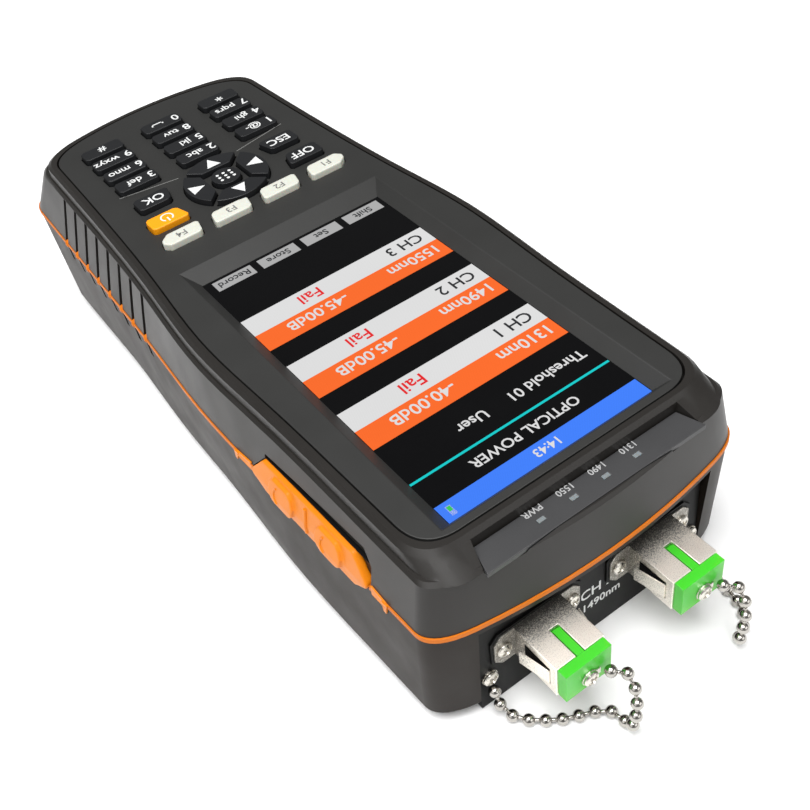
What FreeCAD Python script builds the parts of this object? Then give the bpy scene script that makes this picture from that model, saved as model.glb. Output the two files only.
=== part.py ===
"""Handheld optical power meter for passive optical networks, as an assembly of its pieces.

Millimetres. The meter lies on its back: +Z is up out of the screen, +Y runs from the connector end to the
keypad end and +X is to the right. The origin is the middle of the back face, half way along the seam outline.
"""
import os
import FreeCAD
import Part
from FreeCAD import Placement, Rotation, Vector
from math import tan

DRIVING_SIZES = [
    # housing levels and walls
    ("case_length", 218.0, "length of the seam outline"),
    ("seam_height", 34.0, "middle of the gasket above the back face"),
    ("fascia_height", 51.7, "front face of the panel"),
    ("plinth_height", 3.5, "plinth above the shoulder of the front shell"),
    ("wall", 2.6, "shell wall"),
    ("roof", 2.3, "front shell above its hollow"),
    ("hollow_corner", 0.62, "share of a corner's reach that the hollow cuts off"),
    ("gasket_thickness", 1.3, "gasket between the shells"),
    ("gasket_proud", 0.25, "gasket stands out of the walls"),
    # half widths of the seam outline, from the connector end to the keypad end
    ("seam_half_near", 42.2, "at the connector corner"),
    ("seam_half_screen", 43.8, "beside the screen"),
    ("seam_half_shoulder", 44.2, "widest"),
    ("seam_half_neck", 42.6, "below the shoulder"),
    ("seam_half_keypad", 41.5, "beside the keypad"),
    ("seam_half_far", 39.8, "at the keypad corner"),
    # half widths of the fascia plinth
    ("rim_half_near", 38.7, "at the connector corner"),
    ("rim_half_screen", 39.9, "beside the screen"),
    ("rim_half_shoulder", 40.9, "widest"),
    ("rim_half_neck", 38.7, "below the shoulder"),
    ("rim_half_keypad", 36.7, "beside the keypad"),
    ("rim_half_far", 35.0, "at the keypad corner"),
    # stations of those half widths along the case, from the connector end
    ("station_screen", 65.0, "middle of the screen"),
    ("station_shoulder", 95.0, "widest place"),
    ("station_neck", 123.0, "neck"),
    ("station_keypad", 153.0, "keypad"),
    # ends and corners
    ("end_bow", 3.0, "bulge of the connector end in plan"),
    ("keypad_bow", 2.2, "bulge of the keypad end in plan"),
    ("near_corner", 10.0, "corner reach at the connector end"),
    ("far_corner", 12.5, "corner reach at the keypad end"),
    ("plinth_corner", 9.0, "corner reach of the plinth at the connector end"),
    ("deck_setback", 1.6, "shoulder behind the seam at the connector end"),
    ("deck_setback_far", 6.0, "shoulder behind the seam at the keypad end"),
    ("fascia_setback", 9.7, "plinth behind the seam at the connector end"),
    ("fascia_setback_far", 9.3, "plinth behind the seam at the keypad end"),
    ("foot_setback", 4.0, "plinth foot behind the seam at the connector end"),
    ("foot_draft", 0.2, "plinth foot outside the plinth"),
    ("rim_ledge", 1.2, "shoulder outside the plinth"),
    ("base_setback", 2.0, "back face behind the seam at the connector end"),
    ("base_setback_far", 4.5, "back face behind the seam at the keypad end"),
    ("base_draft_near", 0.1, "side draft of the rear shell at the connector corner"),
    ("base_draft_screen", 0.4, "side draft beside the screen"),
    ("base_draft_shoulder", 2.0, "side draft at the widest place"),
    ("base_draft_neck", 0.9, "side draft below the shoulder"),
    ("base_draft_keypad", 1.5, "side draft beside the keypad"),
    ("base_draft_far", 0.9, "side draft at the keypad corner"),
    ("base_round", 4.0, "rounded edge of the back face"),
    ("deck_round", 0.7, "eased edge of the shoulder"),
    ("rim_round", 0.9, "eased edge of the plinth"),
    ("rim_width", 2.2, "rim of the plinth around the panel"),
    ("panel_groove", 0.4, "dark line around the panel"),
    ("ledge_corner", 0.35, "share of a corner's reach that the opening behind the panel cuts off"),
    ("panel_ledge", 2.2, "ledge that carries the panel"),
    ("panel_thickness", 2.7, "front panel"),
    # screen
    ("screen_place", 67.0, "screen centre from the connector end"),
    ("screen_width", 53.9, "seen width"),
    ("screen_length", 101.0, "seen length"),
    ("screen_bevel_side", 3.2, "sloped wall beside the screen"),
    ("screen_bevel_far", 4.8, "sloped wall at the keypad end"),
    ("screen_bevel_near", 2.2, "sloped wall at the connector end"),
    ("window_lap", 1.0, "window under the panel edge"),
    ("window_thickness", 1.0, "screen window"),
    ("display_width", 62.0, "display module"),
    ("display_length", 101.6, "display module"),
    ("display_thickness", 3.5, "display module"),
    ("board_thickness", 1.6, "main board"),
    ("board_margin", 1.5, "main board edge inside the plinth at the keypad end"),
    ("board_length", 180.0, "main board"),
    ("board_place", 16.0, "board end from the connector end"),
    # keys: rows from the screen centre
    ("key_rise", 1.6, "keys above the panel"),
    ("key_travel", 0.6, "key stroke"),
    ("key_gap", 0.25, "gap around a key"),
    ("key_seat_gap", 0.1, "key flange below the panel"),
    ("key_flange", 0.45, "key flange reach"),
    ("key_flange_thickness", 0.9, "key flange"),
    ("key_corner", 0.8, "cut corner of a key"),
    ("number_key_length", 12.3, "number key"),
    ("number_key_width", 5.4, "number key"),
    ("number_column_pitch", 19.5, "number columns"),
    ("number_row_pitch", 7.65, "number rows"),
    ("number_row_place", 101.1, "first number row"),
    ("function_key_length", 11.2, "function key"),
    ("function_key_width", 5.2, "function key"),
    ("function_key_end", 1.9, "cut corner at the outer end of the first and last function key"),
    ("function_key_slant", 1.1, "slant of a function key's ends"),
    ("function_column_pitch", 15.1, "function keys"),
    ("function_row_place", 68.9, "function row"),
    ("low_key_length", 11.0, "power and off key"),
    ("low_key_width", 5.8, "power and off key"),
    ("low_key_column", 21.4, "power and off key"),
    ("low_row_place", 78.4, "power and off key"),
    ("high_key_length", 9.2, "OK and escape key"),
    ("high_key_width", 6.0, "OK and escape key"),
    ("high_key_column", 20.8, "OK and escape key"),
    ("high_row_place", 89.1, "OK and escape key"),
    ("side_key_slant", 1.5, "slant of these four keys beside the arrow keys"),
    ("nav_place", 84.3, "centre of the arrow keys"),
    ("nav_centre_radius", 4.1, "centre key"),
    ("nav_radius", 12.0, "outer arc of the arrow keys"),
    ("nav_inner", 5.6, "inner edge of the arrow keys from their centre"),
    ("nav_split", 1.6, "gap between two arrow keys"),
    ("nav_moat", 1.3, "panel between the arrow keys and a function key"),
    ("pad_size", 3.2, "membrane pad under a key"),
    ("pad_gap", 0.15, "membrane pad below the pressed key"),
    ("membrane_thickness", 1.2, "keypad membrane"),
    ("membrane_margin", 4.0, "membrane outside the key centres"),
    # LED plate
    ("led_plate_front", 28.6, "half width at the connector end"),
    ("led_plate_back", 26.8, "half width at the plinth"),
    ("led_plate_gap", 0.2, "gap to the plinth"),
    ("led_plate_width", 6.6, "across"),
    ("led_plate_thickness", 1.2, "plate"),
    ("led_pitch", 8.4, "light windows"),
    ("led_length", 1.8, "light window"),
    ("led_width", 1.0, "light window"),
    ("led_depth", 1.2, "light window below the plate"),
    # connector bay
    ("bay_half_width", 32.0, "bay of the connector panel"),
    ("bay_top", 31.4, "bay top above the back face"),
    ("bay_panel_setback", 5.3, "panel face behind the seam"),
    ("bay_panel_thickness", 2.5, "connector panel"),
    ("bay_clearance", 0.2, "panel in its bay"),
    # adapters
    ("adapter_column", 16.05, "adapter centre from the middle"),
    ("adapter_height", 18.15, "adapter centre above the back face"),
    ("adapter_width", 12.8, "outside"),
    ("adapter_thickness", 9.3, "outside"),
    ("adapter_wall", 1.0, "sheet and frame"),
    ("adapter_reach", 13.8, "in front of the connector panel"),
    ("adapter_tail", 10.2, "behind the connector panel"),
    ("adapter_hole_gap", 0.2, "adapter in the panel"),
    ("flange_length", 23.4, "flange along the panel"),
    ("flange_thickness", 0.9, "flange"),
    ("flange_clip", 1.8, "clipped flange corner"),
    ("flange_hole_place", 9.3, "screw from the adapter centre"),
    ("keyway_width", 2.3, "key slot in the top"),
    ("keyway_length", 8.0, "key slot in the top"),
    ("tongue_width", 4.2, "spring tongue in the side"),
    ("tongue_length", 7.6, "spring tongue in the side"),
    ("tongue_slit", 0.6, "slit around the tongue"),
    ("tongue_setback", 2.0, "slit behind the adapter mouth"),
    ("web_thickness", 3.0, "wall that holds the sleeve"),
    ("sleeve_bore", 1.25, "radius for the ferrule"),
    ("sleeve_wall", 0.4, "ceramic sleeve"),
    ("sleeve_length", 12.0, "ceramic sleeve"),
    ("small_screw_radius", 1.1, "shank"),
    ("small_head_radius", 1.9, "pan head"),
    ("small_head_height", 1.1, "pan head"),
    # dust caps
    ("cap_width", 12.1, "cap head"),
    ("cap_thickness", 8.9, "cap head"),
    ("cap_depth", 2.4, "cap head"),
    ("cap_seat_gap", 0.05, "cap head in front of the adapter"),
    ("cap_plug_gap", 0.2, "plug in the adapter"),
    ("cap_plug_length", 9.6, "plug in the adapter"),
    ("cap_plug_wall", 1.1, "plug in the adapter"),
    ("cap_rib_gap", 0.2, "key rib in its slot"),
    ("cap_rib_length", 7.4, "key rib"),
    ("cap_screw_radius", 0.8, "shank"),
    ("cap_screw_length", 1.8, "shank"),
    ("eyelet_radius", 2.1, "chain eyelet"),
    ("eyelet_thickness", 0.4, "chain eyelet"),
    ("eyelet_reach", 2.85, "tongue of the cap eyelet from its screw"),
    ("eyelet_tongue", 1.8, "tongue width"),
    ("cap_screw_drop", 1.0, "cap screw below the middle of the cap"),
    ("chain_diameter", 2.8, "ball chain"),
    ("anchor_column", 29.2, "chain anchor from the middle"),
    ("anchor_height", 10.5, "chain anchor above the back face"),
    # port cover and grip slots
    ("cover_place", 46.9, "cover centre from the connector end"),
    ("cover_length", 45.6, "cover"),
    ("cover_low", 30.4, "lower edge above the back face"),
    ("cover_high", 40.2, "upper edge above the back face"),
    ("cover_taper", 5.6, "pointed ends"),
    ("cover_corner", 1.4, "corner radius"),
    ("cover_proud", 0.8, "cover above the wall"),
    ("cover_sink", 1.2, "cover in its pocket"),
    ("cover_gap", 0.25, "cover in its pocket"),
    ("bump_radius", 4.9, "raised round on the cover"),
    ("bump_place", 9.1, "raised round from the cover centre"),
    ("bump_height", 0.9, "raised round above the cover"),
    ("bump_edge", 1.2, "raised round inside the cover edge"),
    ("scoop_far", 1.5, "finger scoop above the cover, towards the keypad"),
    ("scoop_near", 3.3, "finger scoop above the cover, towards the connectors"),
    ("scoop_depth", 1.0, "finger scoop"),
    ("grip_slots", 8, "slots on each side"),
    ("grip_pitch", 8.0, "slots"),
    ("grip_place", 128.2, "first slot from the connector end"),
    ("grip_width", 1.9, "slot"),
    ("grip_depth", 1.6, "slot"),
    ("grip_low", 28.2, "slot end above the back face"),
    ("grip_high", 47.4, "slot end above the back face"),
    # sockets behind the cover
    ("jack_place", 56.3, "DC jack from the connector end"),
    ("jack_width", 9.0, "DC jack"),
    ("jack_height", 11.0, "DC jack"),
    ("jack_depth", 12.0, "DC jack"),
    ("jack_axis", 7.3, "bore below the main board"),
    ("jack_bore", 3.0, "radius"),
    ("jack_pin", 1.0, "radius"),
    ("jack_setback", 5.8, "jack face inside the seam outline"),
    ("socket_place", 37.5, "USB socket from the connector end"),
    ("socket_width", 8.0, "USB socket"),
    ("socket_height", 3.2, "USB socket"),
    ("socket_depth", 9.0, "USB socket"),
    ("socket_wall", 0.5, "USB socket"),
    ("socket_stand", 5.9, "stand of the USB socket below the main board"),
    ("socket_stand_setback", 1.6, "stand behind the socket face"),
    ("socket_landing", 3.5, "stand of the USB socket under the edge of the main board"),
    ("stand_gap", 0.2, "front shell around the stand"),
    ("socket_setback", 4.8, "socket face inside the seam outline"),
    ("port_gap", 0.5, "wall opening around a socket"),
    # back
    ("battery_width", 56.0, "battery pack"),
    ("battery_length", 76.0, "battery pack"),
    ("battery_height", 19.0, "battery pack"),
    ("battery_place", 64.0, "battery centre from the connector end"),
    ("battery_gap", 2.0, "hatch around the battery"),
    ("cover_lap", 2.2, "battery cover on its ledge"),
    ("cover_plate", 1.3, "battery cover edge"),
    ("hatch_gap", 0.2, "battery cover in its seat"),
    ("hatch_screw_place", 38.0, "battery cover screw from its middle"),
    ("post_radius", 3.4, "screw post"),
    ("post_column_near", 33.2, "posts at the connector end"),
    ("post_column_far", 28.6, "posts at the keypad end"),
    ("post_place_near", 19.0, "posts from the connector end"),
    ("post_place_far", 190.0, "posts from the connector end"),
    ("case_screw_radius", 1.4, "shank"),
    ("case_screw_length", 12.0, "shank"),
    ("case_head_radius", 2.4, "head"),
    ("case_head_height", 2.0, "head"),
    ("case_head_sink", 0.8, "head below the back face"),
    ("screw_gap", 0.1, "screw in its hole"),
    ("detector_width", 54.0, "detector block"),
    ("detector_height", 13.0, "detector block"),
    ("detector_depth", 7.0, "detector block"),
]

# Hand-laid routes of the two chains, from the cap to the anchor.
LEFT_CHAIN = [
    (-13.2, -121.4, 17.1), (-10.4, -122.2, 17.3), (-9.0, -124.9, 16.3), (-10.0, -127.7, 12.2),
    (-11.0, -128.5, 7.6), (-11.5, -128.4, 3.8), (-11.1, -126.0, 1.4), (-10.9, -122.8, 1.5),
    (-13.4, -120.2, 1.4), (-17.4, -118.7, 1.5), (-21.4, -116.6, 1.4), (-25.2, -113.8, 1.5),
    (-28.2, -110.6, 1.5), (-29.3, -107.4, 2.9), (-29.3, -105.4, 5.6), (-29.2, -105.1, 8.1),
]
RIGHT_CHAIN = [
    (18.9, -121.4, 17.1), (21.7, -122.2, 17.3), (23.1, -124.7, 16.3), (22.0, -127.3, 12.2),
    (20.8, -127.9, 7.6), (20.1, -128.1, 3.8), (21.4, -126.6, 1.4), (24.6, -125.6, 1.5),
    (27.6, -123.0, 1.4), (29.2, -119.2, 1.5), (29.8, -114.6, 1.5), (29.6, -110.2, 1.6),
    (29.3, -107.2, 3.0), (29.3, -105.4, 5.6), (29.2, -105.1, 8.1),
]

doc = FreeCAD.newDocument("PowerMeter")
sheet = doc.addObject("Spreadsheet::Sheet", "Sizes")
for row, (alias, value, note) in enumerate(DRIVING_SIZES, start=1):
    sheet.set(f"A{row}", note)
    sheet.set(f"B{row}", str(value))
    sheet.setAlias(f"B{row}", alias)
doc.recompute()

parts = []


def size(alias):
    """The value of one cell of the sheet."""
    return float(getattr(sheet, alias))


def cells(text):
    """An expression with each size name pointed at the sheet."""
    words = text.replace("(", " ( ").replace(")", " ) ").split()
    known = {alias for alias, _, _ in DRIVING_SIZES}
    return " ".join(f"Sizes.{word}" if word in known else word for word in words)


def bind(thing, **expressions):
    """Bind properties to the sheet; a double underscore stands for a dot in the property's path."""
    for path, text in expressions.items():
        thing.setExpression(path.replace("__", "."), cells(text))


def part(thing, label):
    """Name a finished sub-part."""
    thing.Label = label
    parts.append(thing)
    return thing


def feature(label, shape):
    """A sub-part or tool whose shape is worked out here."""
    thing = doc.addObject("Part::Feature", label)
    thing.Shape = shape
    return thing


def block(name, length, width, height, x="0", y="0", z="0"):
    """A box centred on x and y that stands on z."""
    thing = doc.addObject("Part::Box", name)
    bind(
        thing, Length=length, Width=width, Height=height,
        Placement__Base__x=f"( {x} ) - ( {length} ) / 2",
        Placement__Base__y=f"( {y} ) - ( {width} ) / 2",
        Placement__Base__z=z,
    )
    return thing


def rod(name, radius, height, x="0", y="0", z="0", axis=Vector(0, 0, 1)):
    """A cylinder from a point along an axis."""
    thing = doc.addObject("Part::Cylinder", name)
    thing.Placement = Placement(Vector(), Rotation(Vector(0, 0, 1), axis))
    bind(
        thing, Radius=radius, Height=height,
        Placement__Base__x=x, Placement__Base__y=y, Placement__Base__z=z,
    )
    return thing


def peg(name, radius, height, x="0", y="0", z="0", axis=Vector(0, 0, 1), sides=12):
    """A small round, such as a fastener's shank, head or hole, as a prism from a point along an axis."""
    thing = doc.addObject("Part::Prism", name)
    thing.Polygon = sides
    thing.Placement = Placement(Vector(), Rotation(Vector(0, 0, 1), axis))
    bind(
        thing, Circumradius=radius, Height=height,
        Placement__Base__x=x, Placement__Base__y=y, Placement__Base__z=z,
    )
    return thing


def wedge(name, near, far, low, high, near_y, far_y):
    """A block whose near end runs between the two x values in near and whose far end between those in far."""
    thing = doc.addObject("Part::Wedge", name)
    bind(
        thing, Xmin=near[0], Xmax=near[1], X2min=far[0], X2max=far[1],
        Ymin="0", Ymax=f"( {far_y} ) - ( {near_y} )",
        Zmin="0", Zmax=f"( {high} ) - ( {low} )", Z2min="0", Z2max=f"( {high} ) - ( {low} )",
        Placement__Base__y=near_y, Placement__Base__z=low,
    )
    return thing


def fuse(name, things):
    """Several things as one solid."""
    thing = doc.addObject("Part::MultiFuse", name)
    thing.Shapes = things
    return thing


def cut(name, base, tools):
    """A thing with tools taken out of it."""
    thing = doc.addObject("Part::Cut", name)
    thing.Base = base
    thing.Tool = tools[0] if len(tools) == 1 else fuse(f"{name}_tools", tools)
    return thing


def group(name, things):
    """Separate solids that share one node."""
    thing = doc.addObject("Part::Compound", name)
    thing.Links = things
    return thing


def clipped(name, base, reach, outer_reach):
    """Cut off the upright corners of a block, those away from the middle of the case by their own reach."""
    doc.recompute()
    thing = doc.addObject("Part::Chamfer", name)
    thing.Base = base
    middle = abs(base.Shape.BoundBox.Center.x)
    chosen = []
    for number, edge in enumerate(base.Shape.Edges, start=1):
        if upright(edge):
            cut_off = outer_reach if abs(edge.CenterOfMass.x) > middle else reach
            chosen.append((number, cut_off, cut_off))
    thing.Edges = chosen
    return thing


def upright(edge):
    """Whether an edge runs along Z."""
    first, last = edge.Vertexes[0].Point, edge.Vertexes[-1].Point
    return edge.Length > 0 and abs(abs(last.z - first.z) - edge.Length) < 1e-6


NEAR_END = "( 0 - case_length / 2 )"
SCREEN_Y = f"( {NEAR_END} + screen_place )"
near_end = -size("case_length") / 2
far_end = size("case_length") / 2
seam = size("seam_height")
deck = size("fascia_height") - size("plinth_height")
fascia = size("fascia_height")
wall = size("wall")
half_gasket = size("gasket_thickness") / 2
panel_bottom = fascia - size("panel_thickness")


# Housing outlines

def crossing(point, along, other, toward):
    """Where two lines in plan meet."""
    denominator = along.x * toward.y - along.y * toward.x
    gap = other - point
    return point + along * ((gap.x * toward.y - gap.y * toward.x) / denominator)


def half_widths(level):
    """Half widths of a level at the six stations."""
    places = ("near", "screen", "shoulder", "neck", "keypad", "far")
    rim = [size(f"rim_half_{place}") for place in places]
    outer = [size(f"seam_half_{place}") for place in places]
    if level == "rim":
        return rim
    if level == "foot":
        return [value + size("foot_draft") for value in rim]
    if level == "deck":
        return [value + size("rim_ledge") for value in rim]
    if level == "seam":
        return outer
    return [value - size(f"base_draft_{place}") for value, place in zip(outer, places)]


def ends(level):
    """Ends, their bulge and their corner reach at a level."""
    setbacks = {
        "rim": ("fascia_setback", "fascia_setback_far"),
        "foot": ("foot_setback", "fascia_setback_far"),
        "deck": ("deck_setback", "deck_setback_far"),
        "base": ("base_setback", "base_setback_far"),
    }
    near, far = [size(name) for name in setbacks[level]] if level in setbacks else (0.0, 0.0)
    plinth = level in ("rim", "foot")
    bow = 0.1 if plinth else size("end_bow")
    corner = size("near_corner") if level in ("seam", "base") else size("plinth_corner")
    return near_end + near, far_end - far, bow, corner


def corner_directions():
    """Directions in which a side leaves the near corner and reaches the far one, alike at every level."""
    halves = half_widths("seam")
    near, far = near_end + size("near_corner"), far_end - size("far_corner")
    leave = Vector(halves[1] - halves[0], near_end + size("station_screen") - near, 0)
    reach = Vector(halves[5] - halves[4], far - near_end - size("station_keypad"), 0)
    return leave.normalize(), reach.normalize()


def outline(level, grow=0.0, height=0.0):
    """The closed plan outline of a level, moved outward by grow."""
    near, far, bow, near_reach = ends(level)
    near, far = near - grow, far + grow
    far_reach = size("far_corner")
    halves = [value + grow for value in half_widths(level)]
    stations = [
        near + near_reach, near_end + size("station_screen"), near_end + size("station_shoulder"),
        near_end + size("station_neck"), near_end + size("station_keypad"), far - far_reach,
    ]

    def end_arc(centre, bulge, half):
        return Part.Arc(Vector(half, centre + bulge, height), Vector(0, centre, height),
                        Vector(-half, centre + bulge, height))

    def corner(start, along, end, toward):
        curve = Part.BezierCurve()
        curve.setPoles([start, crossing(start, along, end, toward), end])
        return curve

    side = Part.BSplineCurve()
    leave, reach = corner_directions()
    side.interpolate(Points=[Vector(half, place, height) for half, place in zip(halves, stations)],
                     InitialTangent=leave, FinalTangent=reach)
    mirrored = side.copy()
    mirrored.transform(Placement(Vector(), Rotation(Vector(0, 1, 0), 180)).toMatrix())
    mirrored.translate(Vector(0, 0, 2 * height))
    near_arc = end_arc(near, bow, halves[0] - near_reach)
    far_arc = end_arc(far, -size("keypad_bow"), halves[-1] - far_reach)

    def tip(curve, last):
        value = curve.LastParameter if last else curve.FirstParameter
        return curve.value(value), Vector(*curve.tangent(value)[0])

    corners = [
        corner(*tip(near_arc, False), *tip(side, False)), corner(*tip(side, True), *tip(far_arc, False)),
        corner(*tip(far_arc, True), *tip(mirrored, True)),
        corner(*tip(mirrored, False), *tip(near_arc, True)),
    ]
    curves = [near_arc, corners[0], side, corners[1], far_arc, corners[2], mirrored, corners[3]]
    return Part.Wire(Part.__sortEdges__([curve.toShape() for curve in curves]))


def prism(wire, height):
    """A wire pulled up along Z."""
    return Part.Face(wire).extrude(Vector(0, 0, height))


def stack(*levels):
    """A block through several outlines, each given as its level, its growth and its height."""
    return Part.makeLoft([outline(*level) for level in levels], True, True)


def rear_block(grow=0.0):
    """The rear shell's wall as a solid block, without the rounded edge of its back."""
    return stack(("base", grow, 0.0), ("seam", grow, seam))


def front_block(grow=0.0):
    """The front shell's wall as a solid block, up to its shoulder."""
    return stack(("seam", grow, seam), ("deck", grow, deck))


def hollow(level, bottom, height, inset=wall, corner=size("hollow_corner")):
    """A straight-walled space inside a level's outline."""
    near, far, bow, near_reach = ends(level)
    near_reach, far_reach = corner * near_reach, corner * size("far_corner")
    halves = [value - inset for value in half_widths(level)]
    near, far = near + bow + inset, far - size("keypad_bow") - inset
    stations = [near_end + size(f"station_{place}") for place in ("screen", "shoulder", "neck", "keypad")]
    side = [(halves[0] - near_reach, near), (halves[0], near + near_reach)]
    side += list(zip(halves[1:5], stations))
    side += [(halves[5], far - far_reach), (halves[5] - far_reach, far)]
    loop = side + [(-x, y) for x, y in reversed(side)]
    return prism(Part.makePolygon([Vector(x, y, bottom) for x, y in loop + loop[:1]]), height)


def cover_prism(grow):
    """The port cover's outline through the left wall."""
    middle = near_end + size("cover_place")
    half, taper = size("cover_length") / 2, size("cover_taper")
    low, high = size("cover_low"), size("cover_high")
    inside = size("seam_half_screen") - 4 * wall
    corners = [
        (middle - half, seam), (middle - half + taper, high), (middle + half - taper, high),
        (middle + half, seam), (middle + half - taper, low), (middle - half + taper, low),
    ]
    wire = Part.makePolygon([Vector(-inside, y, z) for y, z in corners + corners[:1]])
    solid = Part.Face(wire).extrude(Vector(-8 * wall, 0, 0))
    along_wall = [edge for edge in solid.Edges if edge.BoundBox.XLength > wall]
    solid = solid.makeFillet(size("cover_corner"), along_wall)
    if grow:
        face = max(solid.Faces, key=lambda item: item.CenterOfMass.x)
        solid = Part.Face(face.OuterWire.makeOffset2D(grow)).extrude(Vector(-8 * wall, 0, 0))
    return solid


def grip_cutter():
    """Slots on both sides across the seam, with floors that follow the wall."""
    low, high, width, depth = size("grip_low"), size("grip_high"), size("grip_width"), size("grip_depth")
    outer = half_widths("seam")[4] + 4 * wall
    slots = []
    for number in range(int(size("grip_slots"))):
        place = near_end + size("grip_place") + number * size("grip_pitch")
        base, middle, top = [half_at(level, place) - depth for level in ("base", "seam", "deck")]
        at_low = base + (middle - base) * low / seam
        at_high = middle + (top - middle) * (high - seam) / (deck - seam)
        profile = [(at_low, low), (middle, seam), (at_high, high), (outer, high), (outer, low)]
        for side in (-1, 1):
            wire = Part.makePolygon([Vector(side * x, place - width / 2, z)
                                     for x, z in profile + profile[:1]])
            slots.append(Part.Face(wire).extrude(Vector(0, width, 0)))
    return Part.makeCompound(slots)


def half_at(level, place):
    """Half width of a level's outline at a place along the case."""
    line = Part.LineSegment(Vector(0, place, 0), Vector(4 * size("seam_half_shoulder"), place, 0)).toShape()
    return outline(level).distToShape(line)[1][0][0].x


def whole_block(grow):
    """Both shells as one solid block, up to the shoulder."""
    return rear_block(grow).fuse(front_block(grow))


def scoop():
    """Finger scoop in the front shell, along the upper edge of the port cover and round its near tip."""
    high, half, taper = size("cover_high"), size("cover_length") / 2, size("cover_taper")
    middle, inside = near_end + size("cover_place"), size("seam_half_screen") - 4 * wall
    near_top, far_top = high + size("scoop_near"), high + size("scoop_far")
    corners = [
        (middle + half - taper, seam), (middle + half - taper, far_top),
        (middle - half + taper / 2, near_top), (middle - half, high), (middle - half, seam),
    ]
    wire = Part.makePolygon([Vector(-inside, y, z) for y, z in corners + corners[:1]])
    return Part.Face(wire).extrude(Vector(-8 * wall, 0, 0)).cut(whole_block(-size("scoop_depth")))


def port_openings():
    """Openings in the left wall for the two sockets, and the seats of their bodies behind it."""
    gap = size("port_gap")
    board_top = panel_bottom - size("window_thickness") - size("display_thickness")
    board_bottom = board_top - size("board_thickness")
    inside = -size("rim_half_screen") + 3 * wall
    outside = -size("seam_half_screen") - 2 * wall
    jack_y, jack_z = near_end + size("jack_place"), board_bottom - size("jack_axis")
    opening = many_sided(12, size("jack_bore") + gap, inside - outside, Vector())
    opening.Placement = Placement(Vector(inside, jack_y, jack_z), Rotation(Vector(0, 0, 1), Vector(-1, 0, 0)))
    face = -size("seam_half_screen") + size("jack_setback") - gap
    width = size("jack_width") + 2 * gap
    opening = opening.fuse(Part.makeBox(inside - face, width, size("jack_height") + 2 * gap,
                                        Vector(face, jack_y - width / 2,
                                               board_bottom - size("jack_height") - gap)))
    width = size("socket_width") + 2 * gap
    place = near_end + size("socket_place") - width / 2
    bottom = board_bottom - size("socket_stand") - size("socket_height") - gap
    opening = opening.fuse(Part.makeBox(inside - outside, width, size("socket_height") + 2 * gap,
                                        Vector(outside, place, bottom)))
    gap = size("stand_gap")
    stand = -size("seam_half_screen") + size("socket_setback") + size("socket_stand_setback") - gap
    width = size("socket_width") - 2 * size("socket_wall") + 2 * gap
    return opening.fuse(Part.makeBox(inside - stand, width, size("socket_stand"),
                                     Vector(stand, near_end + size("socket_place") - width / 2,
                                            board_bottom - size("socket_stand"))))


def front_shell():
    """Front shell: flared wall, shoulder and raised plinth with the panel's pocket."""
    bottom, ease, rim_ease = seam + half_gasket, size("deck_round"), size("rim_round")
    lower = stack(("seam", 0, bottom), ("deck", 0, deck - ease), ("deck", -ease, deck))
    plinth = stack(("foot", 0, deck - ease), ("rim", 0, fascia - rim_ease), ("rim", -rim_ease, fascia))
    shell = lower.fuse(plinth).cut(hollow("deck", bottom, deck - size("roof") - bottom))
    pocket = prism(outline("rim", -size("rim_width"), panel_bottom), fascia)
    ledge = size("rim_width") + size("panel_groove") + size("panel_ledge")
    opening = hollow("rim", seam, fascia, ledge, size("ledge_corner"))
    shell = shell.cut(pocket).cut(opening).cut(led_pocket()).cut(light_windows(2 * wall))
    shell = shell.cut(grip_cutter()).cut(scoop()).cut(port_openings())
    return shell.cut(cover_prism(size("cover_gap")).cut(whole_block(-size("cover_sink") - size("cover_gap"))))


def led_pocket():
    """Sunk seat of the LED plate between the arms of the plinth, open above."""
    gap, bottom = size("led_plate_gap"), deck - size("led_plate_thickness")
    front, back = size("led_plate_front") + gap, size("led_plate_back") + gap
    far = near_end + size("fascia_setback")
    near = far - size("led_plate_width") - 2 * gap
    corners = [(-front, near), (front, near), (back, far), (-back, far)]
    wire = Part.makePolygon([Vector(x, y, bottom) for x, y in corners + corners[:1]])
    return prism(wire, fascia)


def light_windows(depth):
    """The row of light windows under the LED plate."""
    length, width, pitch = size("led_length"), size("led_width"), size("led_pitch")
    place = near_end + size("fascia_setback") - size("led_plate_gap") - size("led_plate_width") / 2
    return Part.makeCompound([
        Part.makeBox(length, width, depth,
                     Vector((column - 1.5) * pitch - length / 2, place - width / 2, deck - depth))
        for column in range(4)
    ])


def posts():
    """Places of the screw posts."""
    near, far = near_end + size("post_place_near"), near_end + size("post_place_far")
    return [(side * size(f"post_column_{end}"), y) for end, y in (("near", near), ("far", far))
            for side in (-1, 1)]


def many_sided(sides, radius, height, centre):
    """An upright prism, as small rounds, fasteners and their holes have it."""
    turns = [Rotation(Vector(0, 0, 1), 360 * step / sides) for step in range(sides + 1)]
    return prism(Part.makePolygon([centre + turn.multVec(Vector(radius, 0, 0)) for turn in turns]), height)


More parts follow.
